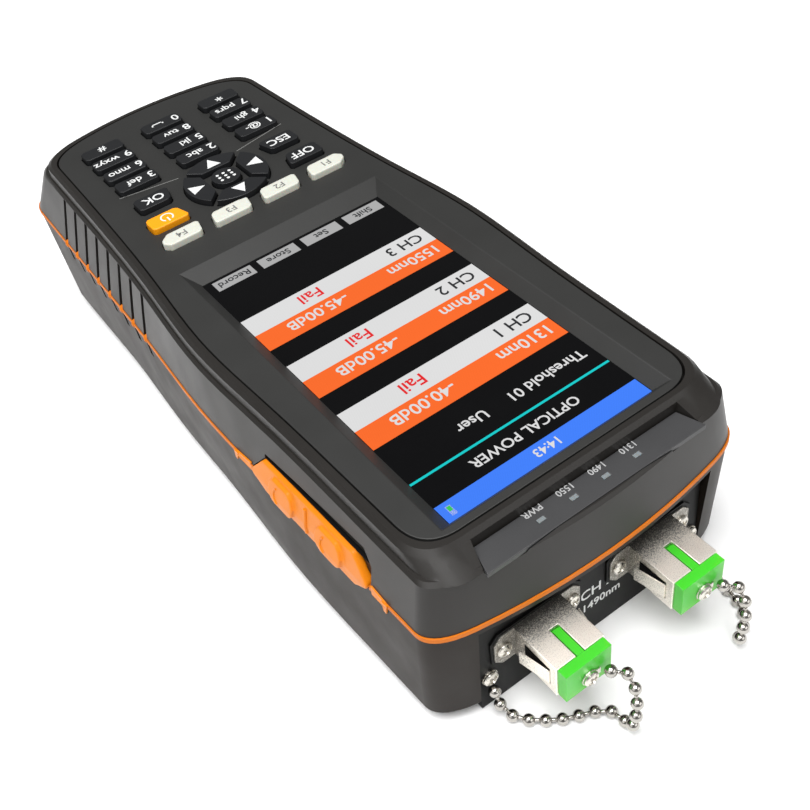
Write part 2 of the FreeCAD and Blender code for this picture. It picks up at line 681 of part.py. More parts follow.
def rear_shell():
    """Rear shell: tub with the connector bay, battery hatch and screw posts."""
    top, edge = seam - half_gasket, size("base_round")
    solid = stack(("base", -edge, 0), ("base", -0.3 * edge, 0.3 * edge), ("base", 0, edge), ("seam", 0, top))
    half, bay_top = size("bay_half_width"), size("bay_top")
    cavity = hollow("base", wall, top - wall)
    bay_depth = cavity.BoundBox.YMin + wall - near_end
    bay = Part.makeBox(2 * half, bay_depth + wall, bay_top + wall, Vector(-half, near_end - wall, -wall))
    board_top = panel_bottom - size("window_thickness") - size("display_thickness")
    board_bottom = board_top - size("board_thickness")
    shell = solid.cut(cavity).cut(bay)
    sink = size("case_head_sink") + size("case_head_height")
    for x, y in posts():
        shell = shell.fuse(many_sided(8, size("post_radius"), board_bottom - wall / 2,
                                      Vector(x, y, wall / 2)))
    for x, y in posts():
        place = Vector(x, y, 0)
        shell = shell.cut(many_sided(12, size("case_head_radius") + size("screw_gap"), sink, place))
        shank = size("case_screw_radius") + size("screw_gap")
        shell = shell.cut(many_sided(8, shank, sink + size("case_screw_length"), place))
    middle, gap = near_end + size("battery_place"), size("battery_gap")
    lap, clearance = size("cover_lap"), size("hatch_gap")
    width, length = size("battery_width") + 2 * gap, size("battery_length") + 2 * gap
    through = Part.makeBox(width, length, 2 * wall, Vector(-width / 2, middle - length / 2, -wall / 2))
    seat = Part.makeBox(width + 2 * (lap + clearance), length + 2 * (lap + clearance),
                        size("cover_plate") + clearance,
                        Vector(-width / 2 - lap - clearance, middle - length / 2 - lap - clearance, 0))
    shell = shell.cut(through).cut(seat)
    for side in (-1, 1):
        place = Vector(0, middle + side * (length / 2 + lap / 2), 0)
        shell = shell.cut(many_sided(12, size("cap_screw_radius"), wall, place))
    shell = shell.cut(grip_cutter()).cut(port_openings())
    return shell.cut(cover_prism(size("cover_gap")).cut(whole_block(-size("cover_sink") - size("cover_gap"))))


def gasket():
    """Orange gasket that shows along the seam, broken by the port cover."""
    base = seam - half_gasket
    ring = prism(outline("seam", size("gasket_proud"), base), 2 * half_gasket)
    ring = ring.cut(hollow("seam", base, 2 * half_gasket))
    return ring.cut(cover_prism(size("cover_gap")))


def port_cover():
    """Rubber cover that lies in a pocket of both shells."""
    skin = whole_block(size("cover_proud")).cut(whole_block(-size("cover_sink")))
    cover = cover_prism(0).common(skin)
    proud = size("cover_proud")
    layer = whole_block(proud + size("bump_height")).cut(whole_block(proud - size("bump_height")))
    inside = size("seam_half_screen") - 4 * wall
    middle, centre = near_end + size("cover_place"), (size("cover_low") + size("cover_high")) / 2
    pads = []
    for side in (-1, 1):
        disc = many_sided(12, size("bump_radius"), 8 * wall, Vector())
        disc.Placement = Placement(Vector(-inside, middle + side * size("bump_place"), centre),
                                   Rotation(Vector(0, 0, 1), Vector(-1, 0, 0)))
        pads.append(disc.common(layer).common(cover_prism(-size("bump_edge"))))
    return cover.multiFuse(pads).removeSplitter()


part(feature("FrontShell", front_shell()), "front_shell")
part(feature("RearShell", rear_shell()), "rear_shell")
part(feature("SeamGasket", gasket()), "seam_gasket")
part(feature("PortCover", port_cover()), "port_cover")


# Keys, front panel and membrane

PANEL_BOTTOM = "( fascia_height - panel_thickness )"
FLANGE_TOP = f"( {PANEL_BOTTOM} - key_seat_gap )"
FLANGE_BOTTOM = f"( {FLANGE_TOP} - key_flange_thickness )"
NAV_Y = f"( {SCREEN_Y} + nav_place )"
BOARD_TOP = f"( {PANEL_BOTTOM} - window_thickness - display_thickness )"
INWARD = Vector(0, 1, 0)
hole_tools = []
pads = []


def key(label, shape, x, y):
    """One key: its cap, its flange below the panel, the hole it runs in and its membrane pad."""
    top = "( fascia_height + key_rise )"
    cap = shape(f"{label}_cap", FLANGE_BOTTOM, top, "0")
    flange = shape(f"{label}_flange", FLANGE_BOTTOM, FLANGE_TOP, "key_flange")
    part(fuse(f"{label}_key", [cap, flange]), label)
    hole_tools.append(shape(f"{label}_hole", FLANGE_TOP, f"( {top} + key_rise )", "key_gap"))
    pad_top = f"{FLANGE_BOTTOM} - key_travel - pad_gap"
    pads.append(block(f"{label}_pad", "pad_size", "pad_size", f"{pad_top} - {BOARD_TOP}", x, y, BOARD_TOP))


def slanted_key(label, length, width, x, y, left="0", right="0", end="key_corner", by_ring=False):
    """A key with cut corners whose ends slant outward towards the keypad end by left and right."""
    def shape(name, low, high, grow):
        near = (f"{x} - {length} / 2 - {grow}", f"{x} + {length} / 2 + {grow}")
        far = (f"{near[0]} - ( {left} )", f"{near[1]} + ( {right} )")
        body = wedge(name, near, far, low, high, f"{y} - {width} / 2 - {grow}", f"{y} + {width} / 2 + {grow}")
        body = clipped(f"{name}_clip", body, size("key_corner"), size(end))
        if by_ring:
            ring = peg(f"{name}_ring", f"nav_radius + nav_moat - {grow}", f"{high} - {low}", "0", NAV_Y,
                       low, sides=48)
            body = cut(f"{name}_cut", body, [ring])
        return body
    key(label, shape, x, y)


def arrow_key(label, across, along):
    """A quarter of a ring with a straight inner edge, towards one side of the centre key."""
    def shape(name, low, high, grow):
        disc = peg(f"{name}_disc", f"nav_radius + {grow}", f"{high} - {low}", "0", NAV_Y, low, sides=48)
        inner = f"( nav_inner - {grow} )"
        outer = "( 2 * nav_radius )"
        half_inner = f"( {inner} - 0.7071 * nav_split + 1.4142 * {grow} )"
        half_outer = f"( {half_inner} + {outer} - {inner} )"
        sector = doc.addObject("Part::Wedge", f"{name}_sector")
        sector.Placement = Placement(Vector(),
                                     Rotation(Vector(0, 0, 1), Vector(across, along, 0).getAngle(INWARD)
                                     * (180 / 3.14159265) * (1 if across <= 0 else -1)))
        bind(
            sector, Xmin=f"0 - {half_inner}", Xmax=half_inner, X2min=f"0 - {half_outer}", X2max=half_outer,
            Ymin=inner, Ymax=outer, Zmin="0", Zmax=f"{high} - {low}", Z2min="0", Z2max=f"{high} - {low}",
            Placement__Base__y=NAV_Y, Placement__Base__z=low,
        )
        both = doc.addObject("Part::Common", name)
        both.Base, both.Tool = disc, sector
        return both
    reach = "( nav_inner + pad_size / 2 )"
    key(label, shape, f"{across} * {reach}", f"{NAV_Y} + {along} * {reach}")


def round_key(label, radius, x, y):
    """A round key."""
    def shape(name, low, high, grow):
        return peg(name, f"{radius} + {grow}", f"{high} - {low}", x, y, low, sides=24)
    key(label, shape, x, y)


NUMBER_KEYS = (
    ("key_1", "key_2", "key_3"), ("key_4", "key_5", "key_6"), ("key_7", "key_8", "key_9"),
    ("key_star", "key_0", "key_hash"),
)
for row, labels in enumerate(NUMBER_KEYS):
    for column, label in enumerate(labels):
        slanted_key(label, "number_key_length", "number_key_width", f"{1 - column} * number_column_pitch",
                    f"{SCREEN_Y} + number_row_place + {row} * number_row_pitch")
for number in range(4):
    slanted_key(f"key_f{number + 1}", "function_key_length", "function_key_width",
                f"{1.5 - number} * function_column_pitch", f"{SCREEN_Y} + function_row_place",
                "0 - function_key_slant", "function_key_slant",
                "key_corner" if number in (1, 2) else "function_key_end", number in (1, 2))
SIDE_KEYS = (
    ("key_off", "low", 1, -1), ("key_power", "low", -1, -1), ("key_escape", "high", 1, 1),
    ("key_ok", "high", -1, 1),
)
for label, row, side, opening in SIDE_KEYS:
    slants = ["0", "0"]
    slants[0 if side > 0 else 1] = f"{opening} * side_key_slant"
    slanted_key(label, f"{row}_key_length", f"{row}_key_width", f"{side} * {row}_key_column",
                f"{SCREEN_Y} + {row}_row_place", *slants)
round_key("key_menu", "nav_centre_radius", "0", NAV_Y)
ARROWS = (("key_arrow_up", 0, -1), ("key_arrow_down", 0, 1), ("key_arrow_left", 1, 0),
          ("key_arrow_right", -1, 0))
for label, across, along in ARROWS:
    arrow_key(label, across, along)

panel_blank = feature("PanelBlank", prism(
    outline("rim", -size("rim_width") - size("panel_groove"), panel_bottom), size("panel_thickness")))
recess = doc.addObject("Part::Wedge", "ScreenRecess")
recess.Placement = Placement(Vector(), Rotation(Vector(1, 0, 0), 90))
bind(
    recess, Xmin="0 - screen_width / 2", Xmax="screen_width / 2", Ymin="0", Ymax="panel_thickness",
    Zmin="0 - screen_length / 2", Zmax="screen_length / 2",
    X2min="0 - screen_width / 2 - screen_bevel_side", X2max="screen_width / 2 + screen_bevel_side",
    Z2min="0 - screen_length / 2 - screen_bevel_far", Z2max="screen_length / 2 + screen_bevel_near",
    Placement__Base__y=SCREEN_Y, Placement__Base__z=PANEL_BOTTOM,
)
part(cut("FrontPanel", panel_blank, [recess] + hole_tools), "front_panel")

BOARD_BOTTOM = f"( {BOARD_TOP} - board_thickness )"
part(block("ScreenWindow", "screen_width + 2 * window_lap", "screen_length + 2 * window_lap",
           "window_thickness", "0", SCREEN_Y, f"{PANEL_BOTTOM} - window_thickness"), "screen_window")
part(block("DisplayModule", "display_width", "display_length", "display_thickness", "0", SCREEN_Y, BOARD_TOP),
     "display_module")
BOARD_HALF = "( rim_half_far - board_margin )"
part(block("MainBoard", f"2 * {BOARD_HALF}", "board_length", "board_thickness", "0",
           f"{NEAR_END} + board_place + board_length / 2", BOARD_BOTTOM), "main_board")
MEMBRANE_LENGTH = "( number_row_place + 3 * number_row_pitch - function_row_place + 2 * membrane_margin )"
membrane = block(
    "MembranePlate", "2 * number_column_pitch + 4 * membrane_margin", MEMBRANE_LENGTH, "membrane_thickness",
    "0", f"{SCREEN_Y} + function_row_place - membrane_margin + {MEMBRANE_LENGTH} / 2", BOARD_TOP)
part(fuse("KeypadMembrane", [membrane] + pads), "keypad_membrane")

# LED plate

PLATE_Y = f"{NEAR_END} + fascia_setback - led_plate_gap - led_plate_width"
plate = doc.addObject("Part::Wedge", "LedPlateBlank")
bind(
    plate, Xmin="0 - led_plate_front", Xmax="led_plate_front", X2min="0 - led_plate_back",
    X2max="led_plate_back",
    Ymin="0", Ymax="led_plate_width", Zmin="0", Zmax="led_plate_thickness", Z2min="0",
    Z2max="led_plate_thickness",
    Placement__Base__y=PLATE_Y, Placement__Base__z="fascia_height - plinth_height - led_plate_thickness",
)
lights = feature("LedWindows", light_windows(size("led_plate_thickness") + size("led_depth")))
part(cut("LedPlate", plate, [lights]), "led_plate")
part(group("LedWindowRow", [lights]), "led_windows")

# Connector panel, adapters and caps

PANEL_FACE = f"( {NEAR_END} + bay_panel_setback )"
ADAPTER_MOUTH = f"( {PANEL_FACE} - adapter_reach )"
ADAPTER_TAIL = f"( {PANEL_FACE} + bay_panel_thickness + adapter_tail )"
ADAPTER_LENGTH = "( adapter_reach + bay_panel_thickness + adapter_tail )"
TOWARD_VIEWER = Vector(0, -1, 0)
panel_holes = []
screws = []
anchor_screws = []
anchor_eyelets = []


def level_block(name, width, height, x, near, depth, z):
    """A box centred on x and z that runs from near along +Y."""
    return block(name, width, depth, height, x, f"{near} + ( {depth} ) / 2", f"{z} - ( {height} ) / 2")


def pan_screw(name, x, z, face, radius, length):
    """A pan-head screw driven along +Y into a face."""
    head = peg(f"{name}_head", "small_head_radius", "small_head_height", x, face, z, TOWARD_VIEWER)
    return fuse(name, [head, peg(f"{name}_shank", radius, length, x, face, z, INWARD)])


def eyelet(name, x, z, face, tongue):
    """A flat ring under a screw head, with a tongue towards +X if the chain needs one."""
    ring = peg(f"{name}_ring", "eyelet_radius", "eyelet_thickness", x, face, z, TOWARD_VIEWER)
    if tongue:
        reach = level_block(f"{name}_tongue", "eyelet_reach", "eyelet_tongue", f"{x} + eyelet_reach / 2",
                            f"{face} - eyelet_thickness", "eyelet_thickness", z)
        ring = fuse(f"{name}_tag", [ring, reach])
    return cut(name, ring,
               [peg(f"{name}_hole", "cap_screw_radius", "eyelet_thickness", x, face, z, TOWARD_VIEWER)])


def adapter(side, x):
    """Metal adapter: sheet tube with key slot and spring tongues, flange and sleeve web."""
    z = "adapter_height"
    tube = level_block(f"AdapterTube{side}", "adapter_width", "adapter_thickness", x, ADAPTER_MOUTH,
                       ADAPTER_LENGTH, z)
    flange = level_block(f"AdapterFlange{side}", "flange_length", "adapter_thickness", x,
                         f"{PANEL_FACE} - flange_thickness", "flange_thickness", z)
    doc.recompute()
    clip = doc.addObject("Part::Chamfer", f"AdapterFlangeClip{side}")
    clip.Base = flange
    edges = enumerate(flange.Shape.Edges, start=1)
    reach = size("flange_clip")
    clip.Edges = [(number, reach, reach)
                  for number, edge in edges if edge.BoundBox.YLength > 0.99 * edge.Length]
    front = f"( {PANEL_FACE} - web_thickness / 2 )"
    bore_width = "( adapter_width - 2 * adapter_wall )"
    bore_height = "( adapter_thickness - 2 * adapter_wall )"
    mouth = level_block(f"AdapterMouth{side}", bore_width, bore_height, x, ADAPTER_MOUTH,
                        f"{front} - {ADAPTER_MOUTH}", z)
    back = level_block(f"AdapterBack{side}", bore_width, bore_height, x, f"{front} + web_thickness",
                       f"{ADAPTER_TAIL} - {front} - web_thickness", z)
    hole = peg(f"AdapterBore{side}", "sleeve_bore + sleeve_wall", "web_thickness", x, front, z, INWARD)
    keyway = block(f"AdapterKeyway{side}", "keyway_width", "keyway_length", "2 * adapter_wall", x,
                   f"{ADAPTER_MOUTH} + keyway_length / 2", f"{z} + adapter_thickness / 2 - adapter_wall")
    tools = [mouth, back, hole, keyway]
    start = f"( {ADAPTER_MOUTH} + tongue_setback )"
    for edge in (-1, 1):
        level = f"{z} + {edge} * ( tongue_width + tongue_slit ) / 2"
        tools.append(level_block(f"AdapterSlit{side}{edge + 1}", "2 * adapter_width", "tongue_slit", x, start,
                                 "tongue_length", level))
    tools.append(level_block(f"AdapterSlitEnd{side}", "2 * adapter_width", "tongue_width", x, start,
                             "tongue_slit", z))
    for edge in (-1, 1):
        place = f"{x} + {edge} * flange_hole_place"
        tools.append(peg(f"AdapterHole{side}{edge + 1}", "small_screw_radius", "flange_thickness", place,
                         PANEL_FACE, z, TOWARD_VIEWER))
        screws.append(pan_screw(f"AdapterScrew{side}{edge + 1}", place, z, f"{PANEL_FACE} - flange_thickness",
                                "small_screw_radius", "flange_thickness + bay_panel_thickness"))
        panel_holes.append(peg(f"PanelScrewHole{side}{edge + 1}", "small_screw_radius",
                               "bay_panel_thickness", place, PANEL_FACE, z, INWARD))
    part(cut(f"Adapter{side}", fuse(f"AdapterBody{side}", [tube, clip]), tools), f"adapter_{side}")
    panel_holes.append(level_block(f"PanelHole{side}", "adapter_width + 2 * adapter_hole_gap",
                                   "adapter_thickness + 2 * adapter_hole_gap", x, PANEL_FACE,
                                   "bay_panel_thickness", z))
    sleeve_start = f"{PANEL_FACE} - sleeve_length / 2"
    outer = peg(f"SleeveOuter{side}", "sleeve_bore + sleeve_wall", "sleeve_length", x, sleeve_start, z,
                INWARD)
    inner = peg(f"SleeveBore{side}", "sleeve_bore", "sleeve_length", x, sleeve_start, z, INWARD)
    part(cut(f"Sleeve{side}", outer, [inner]), f"sleeve_{side}")


def dust_cap(side, x):
    """Green dust cap: head, hollow plug and key rib, with its screw and the chain's eyelet."""
    z = "adapter_height"
    seat = f"( {ADAPTER_MOUTH} - cap_seat_gap )"
    face = f"( {seat} - cap_depth )"
    plug_width = "( adapter_width - 2 * adapter_wall - 2 * cap_plug_gap )"
    plug_height = "( adapter_thickness - 2 * adapter_wall - 2 * cap_plug_gap )"
    head = level_block(f"CapHead{side}", "cap_width", "cap_thickness", x, face, "cap_depth", z)
    plug = level_block(f"CapPlug{side}", plug_width, plug_height, x, seat, "cap_plug_length", z)
    rib = block(f"CapRib{side}", "keyway_width - 2 * cap_rib_gap", "cap_rib_length",
                "adapter_wall + cap_plug_gap", x,
                f"{seat} + cap_rib_length / 2", f"{z} + {plug_height} / 2")
    hollow = level_block(f"CapHollow{side}", f"{plug_width} - 2 * cap_plug_wall",
                         f"{plug_height} - 2 * cap_plug_wall", x, seat, "cap_plug_length", z)
    screw_z = f"( {z} - cap_screw_drop )"
    hole = peg(f"CapHole{side}", "cap_screw_radius", "cap_screw_length", x, face, screw_z, INWARD)
    part(cut(f"DustCap{side}", fuse(f"CapBody{side}", [head, plug, rib]), [hollow, hole]), f"dust_cap_{side}")
    part(eyelet(f"CapEyelet{side}", x, screw_z, face, True), f"cap_eyelet_{side}")
    part(pan_screw(f"CapScrew{side}", x, screw_z, f"{face} - eyelet_thickness", "cap_screw_radius",
                   "eyelet_thickness + cap_screw_length"), f"cap_screw_{side}")


for side, sign in (("left", -1), ("right", 1)):
    adapter(side, f"{sign} * adapter_column")
    dust_cap(side, f"{sign} * adapter_column")
    column = f"{sign} * anchor_column"
    anchor_eyelets.append(eyelet(f"AnchorEyelet{side}", column, "anchor_height", PANEL_FACE, False))
    anchor_screws.append(pan_screw(f"AnchorScrew{side}", column, "anchor_height",
                                   f"{PANEL_FACE} - eyelet_thickness",
                                   "cap_screw_radius", "eyelet_thickness + cap_screw_length"))
    panel_holes.append(peg(f"AnchorHole{side}", "cap_screw_radius", "cap_screw_length", column, PANEL_FACE,
                           "anchor_height", INWARD))
part(group("AdapterScrews", screws), "adapter_screws")
part(group("AnchorScrews", anchor_screws), "anchor_screws")
part(group("AnchorEyelets", anchor_eyelets), "anchor_eyelets")
bay_plate = block("BayPlate", "2 * ( bay_half_width - bay_clearance )", "bay_panel_thickness",
                  "bay_top - 2 * bay_clearance", "0", f"{PANEL_FACE} + bay_panel_thickness / 2",
                  "bay_clearance")
part(cut("ConnectorPanel", bay_plate, panel_holes), "connector_panel")
part(level_block("DetectorBlock", "detector_width", "detector_height", "0", ADAPTER_TAIL, "detector_depth",
                 "adapter_height"), "detector_block")


BEND_CHORDS = 3
MITRED = 1


def chain(label, route):
    """A plain square tube along straight runs joined by the largest arcs that fit, each bent in chords."""
    points = [Vector(*point) for point in route]
    radius = size("chain_diameter") / 2
    edges, bends, corners = [], [], points[:1]
    start = points[0]
    for before, point, after in zip(points, points[1:], points[2:]):
        toward, onward = (point - before).normalize(), (after - point).normalize()
        turn = toward.getAngle(onward)
        reach = 0.45 * min((point - before).Length, (after - point).Length)
        bends.append(reach / tan(turn / 2))
        leave, join = point - toward * reach, point + onward * reach
        inward = (onward - toward).normalize()
        middle = point + inward * (bends[-1] * (1 / FreeCAD.Vector(1, tan(turn / 2), 0).normalize().x - 1))
        bend = Part.Arc(leave, middle, join).toShape()
        edges += [Part.LineSegment(start, leave).toShape(), bend]
        corners += bend.discretize(Number=BEND_CHORDS + 1)
        start = join
    edges.append(Part.LineSegment(start, points[-1]).toShape())
    corners.append(points[-1])
    path, chords = Part.Wire(edges), Part.makePolygon(corners)
    turn_to_path = Rotation(Vector(0, 0, 1), points[1] - points[0])
    section = Part.makePolygon([
        points[0] + turn_to_path.multVec(Rotation(Vector(0, 0, 1), 90 * step).multVec(Vector(radius, 0, 0)))
        for step in range(5)
    ])
    tube = chords.makePipeShell([section], True, False, MITRED)
    expected = Part.Face(section).Area * path.Length
    print(label, "length", round(path.Length, 1), "radii", [round(bend, 1) for bend in bends],
          "volume ratio", round(tube.Volume / expected, 4))
    part(feature(label.title().replace("_", ""), tube), label)


chain("cap_chain_left", LEFT_CHAIN)
chain("cap_chain_right", RIGHT_CHAIN)

# Sockets behind the port cover

SOCKET_FACE = "( 0 - seam_half_screen + socket_setback )"
JACK_FACE = "( 0 - seam_half_screen + jack_setback )"
JACK_Z = f"( {BOARD_BOTTOM} - jack_axis )"
jack_y = f"{NEAR_END} + jack_place"
jack = block("JackBody", "jack_depth", "jack_width", "jack_height", f"{JACK_FACE} + jack_depth / 2", jack_y,
             f"{BOARD_BOTTOM} - jack_height")
jack_hole = peg("JackBore", "jack_bore", "jack_depth * 0.75", JACK_FACE, jack_y, JACK_Z, Vector(1, 0, 0))
pin = peg("JackPin", "jack_pin", "jack_depth * 0.8 - port_gap", f"{JACK_FACE} + port_gap", jack_y, JACK_Z,
          Vector(1, 0, 0))
part(fuse("DcJack", [cut("JackShell", jack, [jack_hole]), pin]), "dc_jack")
usb_y = f"{NEAR_END} + socket_place"
USB_LOW = f"( {BOARD_BOTTOM} - socket_stand - socket_height )"
usb = block("UsbBody", "socket_depth", "socket_width", "socket_height", f"{SOCKET_FACE} + socket_depth / 2",
            usb_y, USB_LOW)
usb_hole = block("UsbMouth", "socket_depth * 0.8", "socket_width - 2 * socket_wall",
                 "socket_height - 2 * socket_wall",
                 f"{SOCKET_FACE} + socket_depth * 0.4", usb_y, f"{USB_LOW} + socket_wall")
usb_tongue = block("UsbTongue", "socket_depth * 0.7", "socket_width - 6 * socket_wall", "socket_wall",
                   f"{SOCKET_FACE} + socket_depth * 0.55", usb_y, f"{USB_LOW} + socket_height / 2")
STAND_FRONT = f"( {SOCKET_FACE} + socket_stand_setback )"
STAND_BACK = f"( socket_landing - {BOARD_HALF} )"
usb_stand = block("UsbStand", f"{STAND_BACK} - {STAND_FRONT}", "socket_width - 2 * socket_wall",
                  "socket_stand",
                  f"( {STAND_FRONT} + {STAND_BACK} ) / 2", usb_y, f"{BOARD_BOTTOM} - socket_stand")
part(fuse("UsbSocket", [cut("UsbShell", usb, [usb_hole]), usb_tongue, usb_stand]), "usb_socket")

# Battery, its cover and the screws of the back

BATTERY_Y = f"( {NEAR_END} + battery_place )"
HATCH_WIDTH, HATCH_LENGTH = "( battery_width + 2 * battery_gap )", "( battery_length + 2 * battery_gap )"
part(block("BatteryPack", "battery_width", "battery_length", "battery_height", "0", BATTERY_Y, "wall"),
     "battery_pack")
lid = block("CoverEdge", f"{HATCH_WIDTH} + 2 * cover_lap", f"{HATCH_LENGTH} + 2 * cover_lap", "cover_plate",
            "0", BATTERY_Y, "hatch_gap")
lid_step = block("CoverStep", f"{HATCH_WIDTH} - 2 * hatch_gap", f"{HATCH_LENGTH} - 2 * hatch_gap",
                 "wall - hatch_gap", "0", BATTERY_Y, "hatch_gap")
lid_holes = []
lid_screws = []
for side in (-1, 1):
    place = f"{BATTERY_Y} + {side} * ( {HATCH_LENGTH} / 2 + cover_lap / 2 )"
    lid_holes.append(peg(f"CoverHole{side + 1}", "cap_screw_radius", "wall", "0", place, "0"))
    lid_screws.append(peg(f"CoverScrew{side + 1}", "cap_screw_radius", "wall - hatch_gap", "0", place,
                          "hatch_gap"))
part(cut("BatteryCover", fuse("CoverBlank", [lid, lid_step]), lid_holes), "battery_cover")
part(group("CoverScrews", lid_screws), "battery_cover_screws")
case_screws = []
for number, (end, place) in enumerate((("near", "post_place_near"), ("far", "post_place_far")) * 2):
    x = f"{1 if number < 2 else -1} * post_column_{end}"
    y = f"{NEAR_END} + {place}"
    head = peg(f"CaseHead{number}", "case_head_radius", "case_head_height", x, y, "case_head_sink")
    shank = peg(f"CaseShank{number}", "case_screw_radius", "case_screw_length", x, y,
                "case_head_sink + case_head_height")
    case_screws.append(fuse(f"CaseScrew{number}", [head, shank]))
part(group("CaseScrews", case_screws), "case_screws")

doc.recompute()
for thing in doc.Objects:
    if "Invalid" in thing.State or "Error" in thing.State:
        raise RuntimeError(f"{thing.Name} failed: {thing.State}")
for thing in parts:
    if thing.Shape.isNull() or not thing.Shape.isValid():
        raise RuntimeError(f"{thing.Label} has no valid shape")
os.makedirs("parts", exist_ok=True)
for thing in parts:
    thing.Shape.exportStep(os.path.join("parts", f"{thing.Label}.step"))
print(len(parts), "parts written")
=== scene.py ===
"""Looks of a handheld optical power meter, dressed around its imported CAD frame.

Metres, in the CAD frame: the meter lies on its back, its screen looks up (+Z) and its connector end points
to -Y. Its reader looks at the screen from the keypad end, so words run along -X and their feet point to +Y.
"""
import math

import bmesh
import bpy
from mathutils import Matrix, Vector
from mathutils.bvhtree import BVHTree


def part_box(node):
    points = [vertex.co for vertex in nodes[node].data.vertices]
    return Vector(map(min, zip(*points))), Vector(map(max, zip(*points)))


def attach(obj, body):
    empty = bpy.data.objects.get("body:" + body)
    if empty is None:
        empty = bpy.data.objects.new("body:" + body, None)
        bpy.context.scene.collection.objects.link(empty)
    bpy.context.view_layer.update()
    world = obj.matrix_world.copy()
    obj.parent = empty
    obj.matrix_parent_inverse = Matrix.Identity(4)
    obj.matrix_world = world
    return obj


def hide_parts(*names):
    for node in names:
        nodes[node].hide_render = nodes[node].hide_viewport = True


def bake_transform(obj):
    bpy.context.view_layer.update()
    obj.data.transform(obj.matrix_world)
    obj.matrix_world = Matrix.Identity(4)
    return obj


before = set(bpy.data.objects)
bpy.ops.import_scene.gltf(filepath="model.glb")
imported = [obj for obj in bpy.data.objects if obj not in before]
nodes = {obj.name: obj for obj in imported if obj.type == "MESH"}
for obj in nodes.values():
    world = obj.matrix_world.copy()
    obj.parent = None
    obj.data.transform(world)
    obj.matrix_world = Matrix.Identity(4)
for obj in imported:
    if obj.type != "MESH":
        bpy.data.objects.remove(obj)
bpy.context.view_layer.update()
scene = bpy.context.scene

MM = 0.001
INK_LIFT = 0.02 * MM
INK_THICKNESS = 0.04 * MM
CAP_HEIGHT_OF_FONT = 0.682

CAMERA_PLACE = Vector((-98.458, -208.147, 215.247)) * MM
CAMERA_TURN = (45.278, 7.011, -35.617)
CAMERA_LENS = 49.14
CAMERA_SHIFT = (0.0168, 0.0023)

BALL_DIAMETER = 2.8 * MM
BALL_PITCH = 3.45 * MM
LINK_RADIUS = 0.42 * MM

CHAIN_ROUTES = {
    "left": (
        (-13.2, -121.4, 17.1), (-10.4, -122.2, 17.3), (-9.0, -124.9, 16.3), (-10.0, -127.7, 12.2),
        (-11.0, -128.5, 7.6), (-11.5, -128.4, 3.8), (-11.1, -126.0, 1.4), (-10.9, -122.8, 1.5),
        (-13.4, -120.2, 1.4), (-17.4, -118.7, 1.5), (-21.4, -116.6, 1.4), (-25.2, -113.8, 1.5),
        (-28.2, -110.6, 1.5), (-29.3, -107.4, 2.9), (-29.3, -105.4, 5.6), (-29.2, -105.1, 8.1),
    ),
    "right": (
        (18.9, -121.4, 17.1), (21.7, -122.2, 17.3), (23.1, -124.7, 16.3), (22.0, -127.3, 12.2),
        (20.8, -127.9, 7.6), (20.1, -128.1, 3.8), (21.4, -126.6, 1.4), (24.6, -125.6, 1.5),
        (27.6, -123.0, 1.4), (29.2, -119.2, 1.5), (29.8, -114.6, 1.5), (29.6, -110.2, 1.6),
        (29.3, -107.2, 3.0), (29.3, -105.4, 5.6), (29.2, -105.1, 8.1),
    ),
}


# ---- colours and shader groups ----

def paint(red, green, blue):
    """A colour as seen on a screen, 0 to 255, in the linear values that the shaders use."""
    channels = [value / 255 for value in (red, green, blue)]
    linear = [value / 12.92 if value <= 0.04045 else ((value + 0.055) / 1.055) ** 2.4 for value in channels]
    return (*linear, 1.0)


def shader_group(name, inputs, outputs):
    """An empty shader group with named sockets."""
    group = bpy.data.node_groups.new(name, "ShaderNodeTree")
    for label, kind in inputs:
        group.interface.new_socket(label, in_out="INPUT", socket_type=kind)
    for label, kind in outputs:
        group.interface.new_socket(label, in_out="OUTPUT", socket_type=kind)
    return group, group.nodes.new("NodeGroupInput"), group.nodes.new("NodeGroupOutput")


def maths(tree, operation, first, second):
    """A maths node; each side is a socket or a number."""
    node = tree.nodes.new("ShaderNodeMath")
    node.operation = operation
    for socket, value in zip(node.inputs, (first, second)):
        if isinstance(value, (int, float)):
            socket.default_value = value
        else:
            tree.links.new(value, socket)
    return node.outputs[0]


def noise(tree, place, scale, detail=2.0):
    """Noise of a scale given as a socket or a number of waves in a metre."""
    node = tree.nodes.new("ShaderNodeTexNoise")
    tree.links.new(place, node.inputs["Vector"])
    node.inputs["Detail"].default_value = detail
    if isinstance(scale, (int, float)):
        node.inputs["Scale"].default_value = scale
    else:
        tree.links.new(scale, node.inputs["Scale"])
    return node.outputs["Fac"]


def object_place(tree):
    """Coordinates that stay with the piece."""
    return tree.nodes.new("ShaderNodeTexCoord").outputs["Object"]


def shaded(tree, tint, factor):
    """A tint made lighter or darker by a factor that varies."""
    node = tree.nodes.new("ShaderNodeVectorMath")
    node.operation = "SCALE"
    tree.links.new(tint, node.inputs[0])
    tree.links.new(factor, node.inputs["Scale"])
    return node.outputs[0]


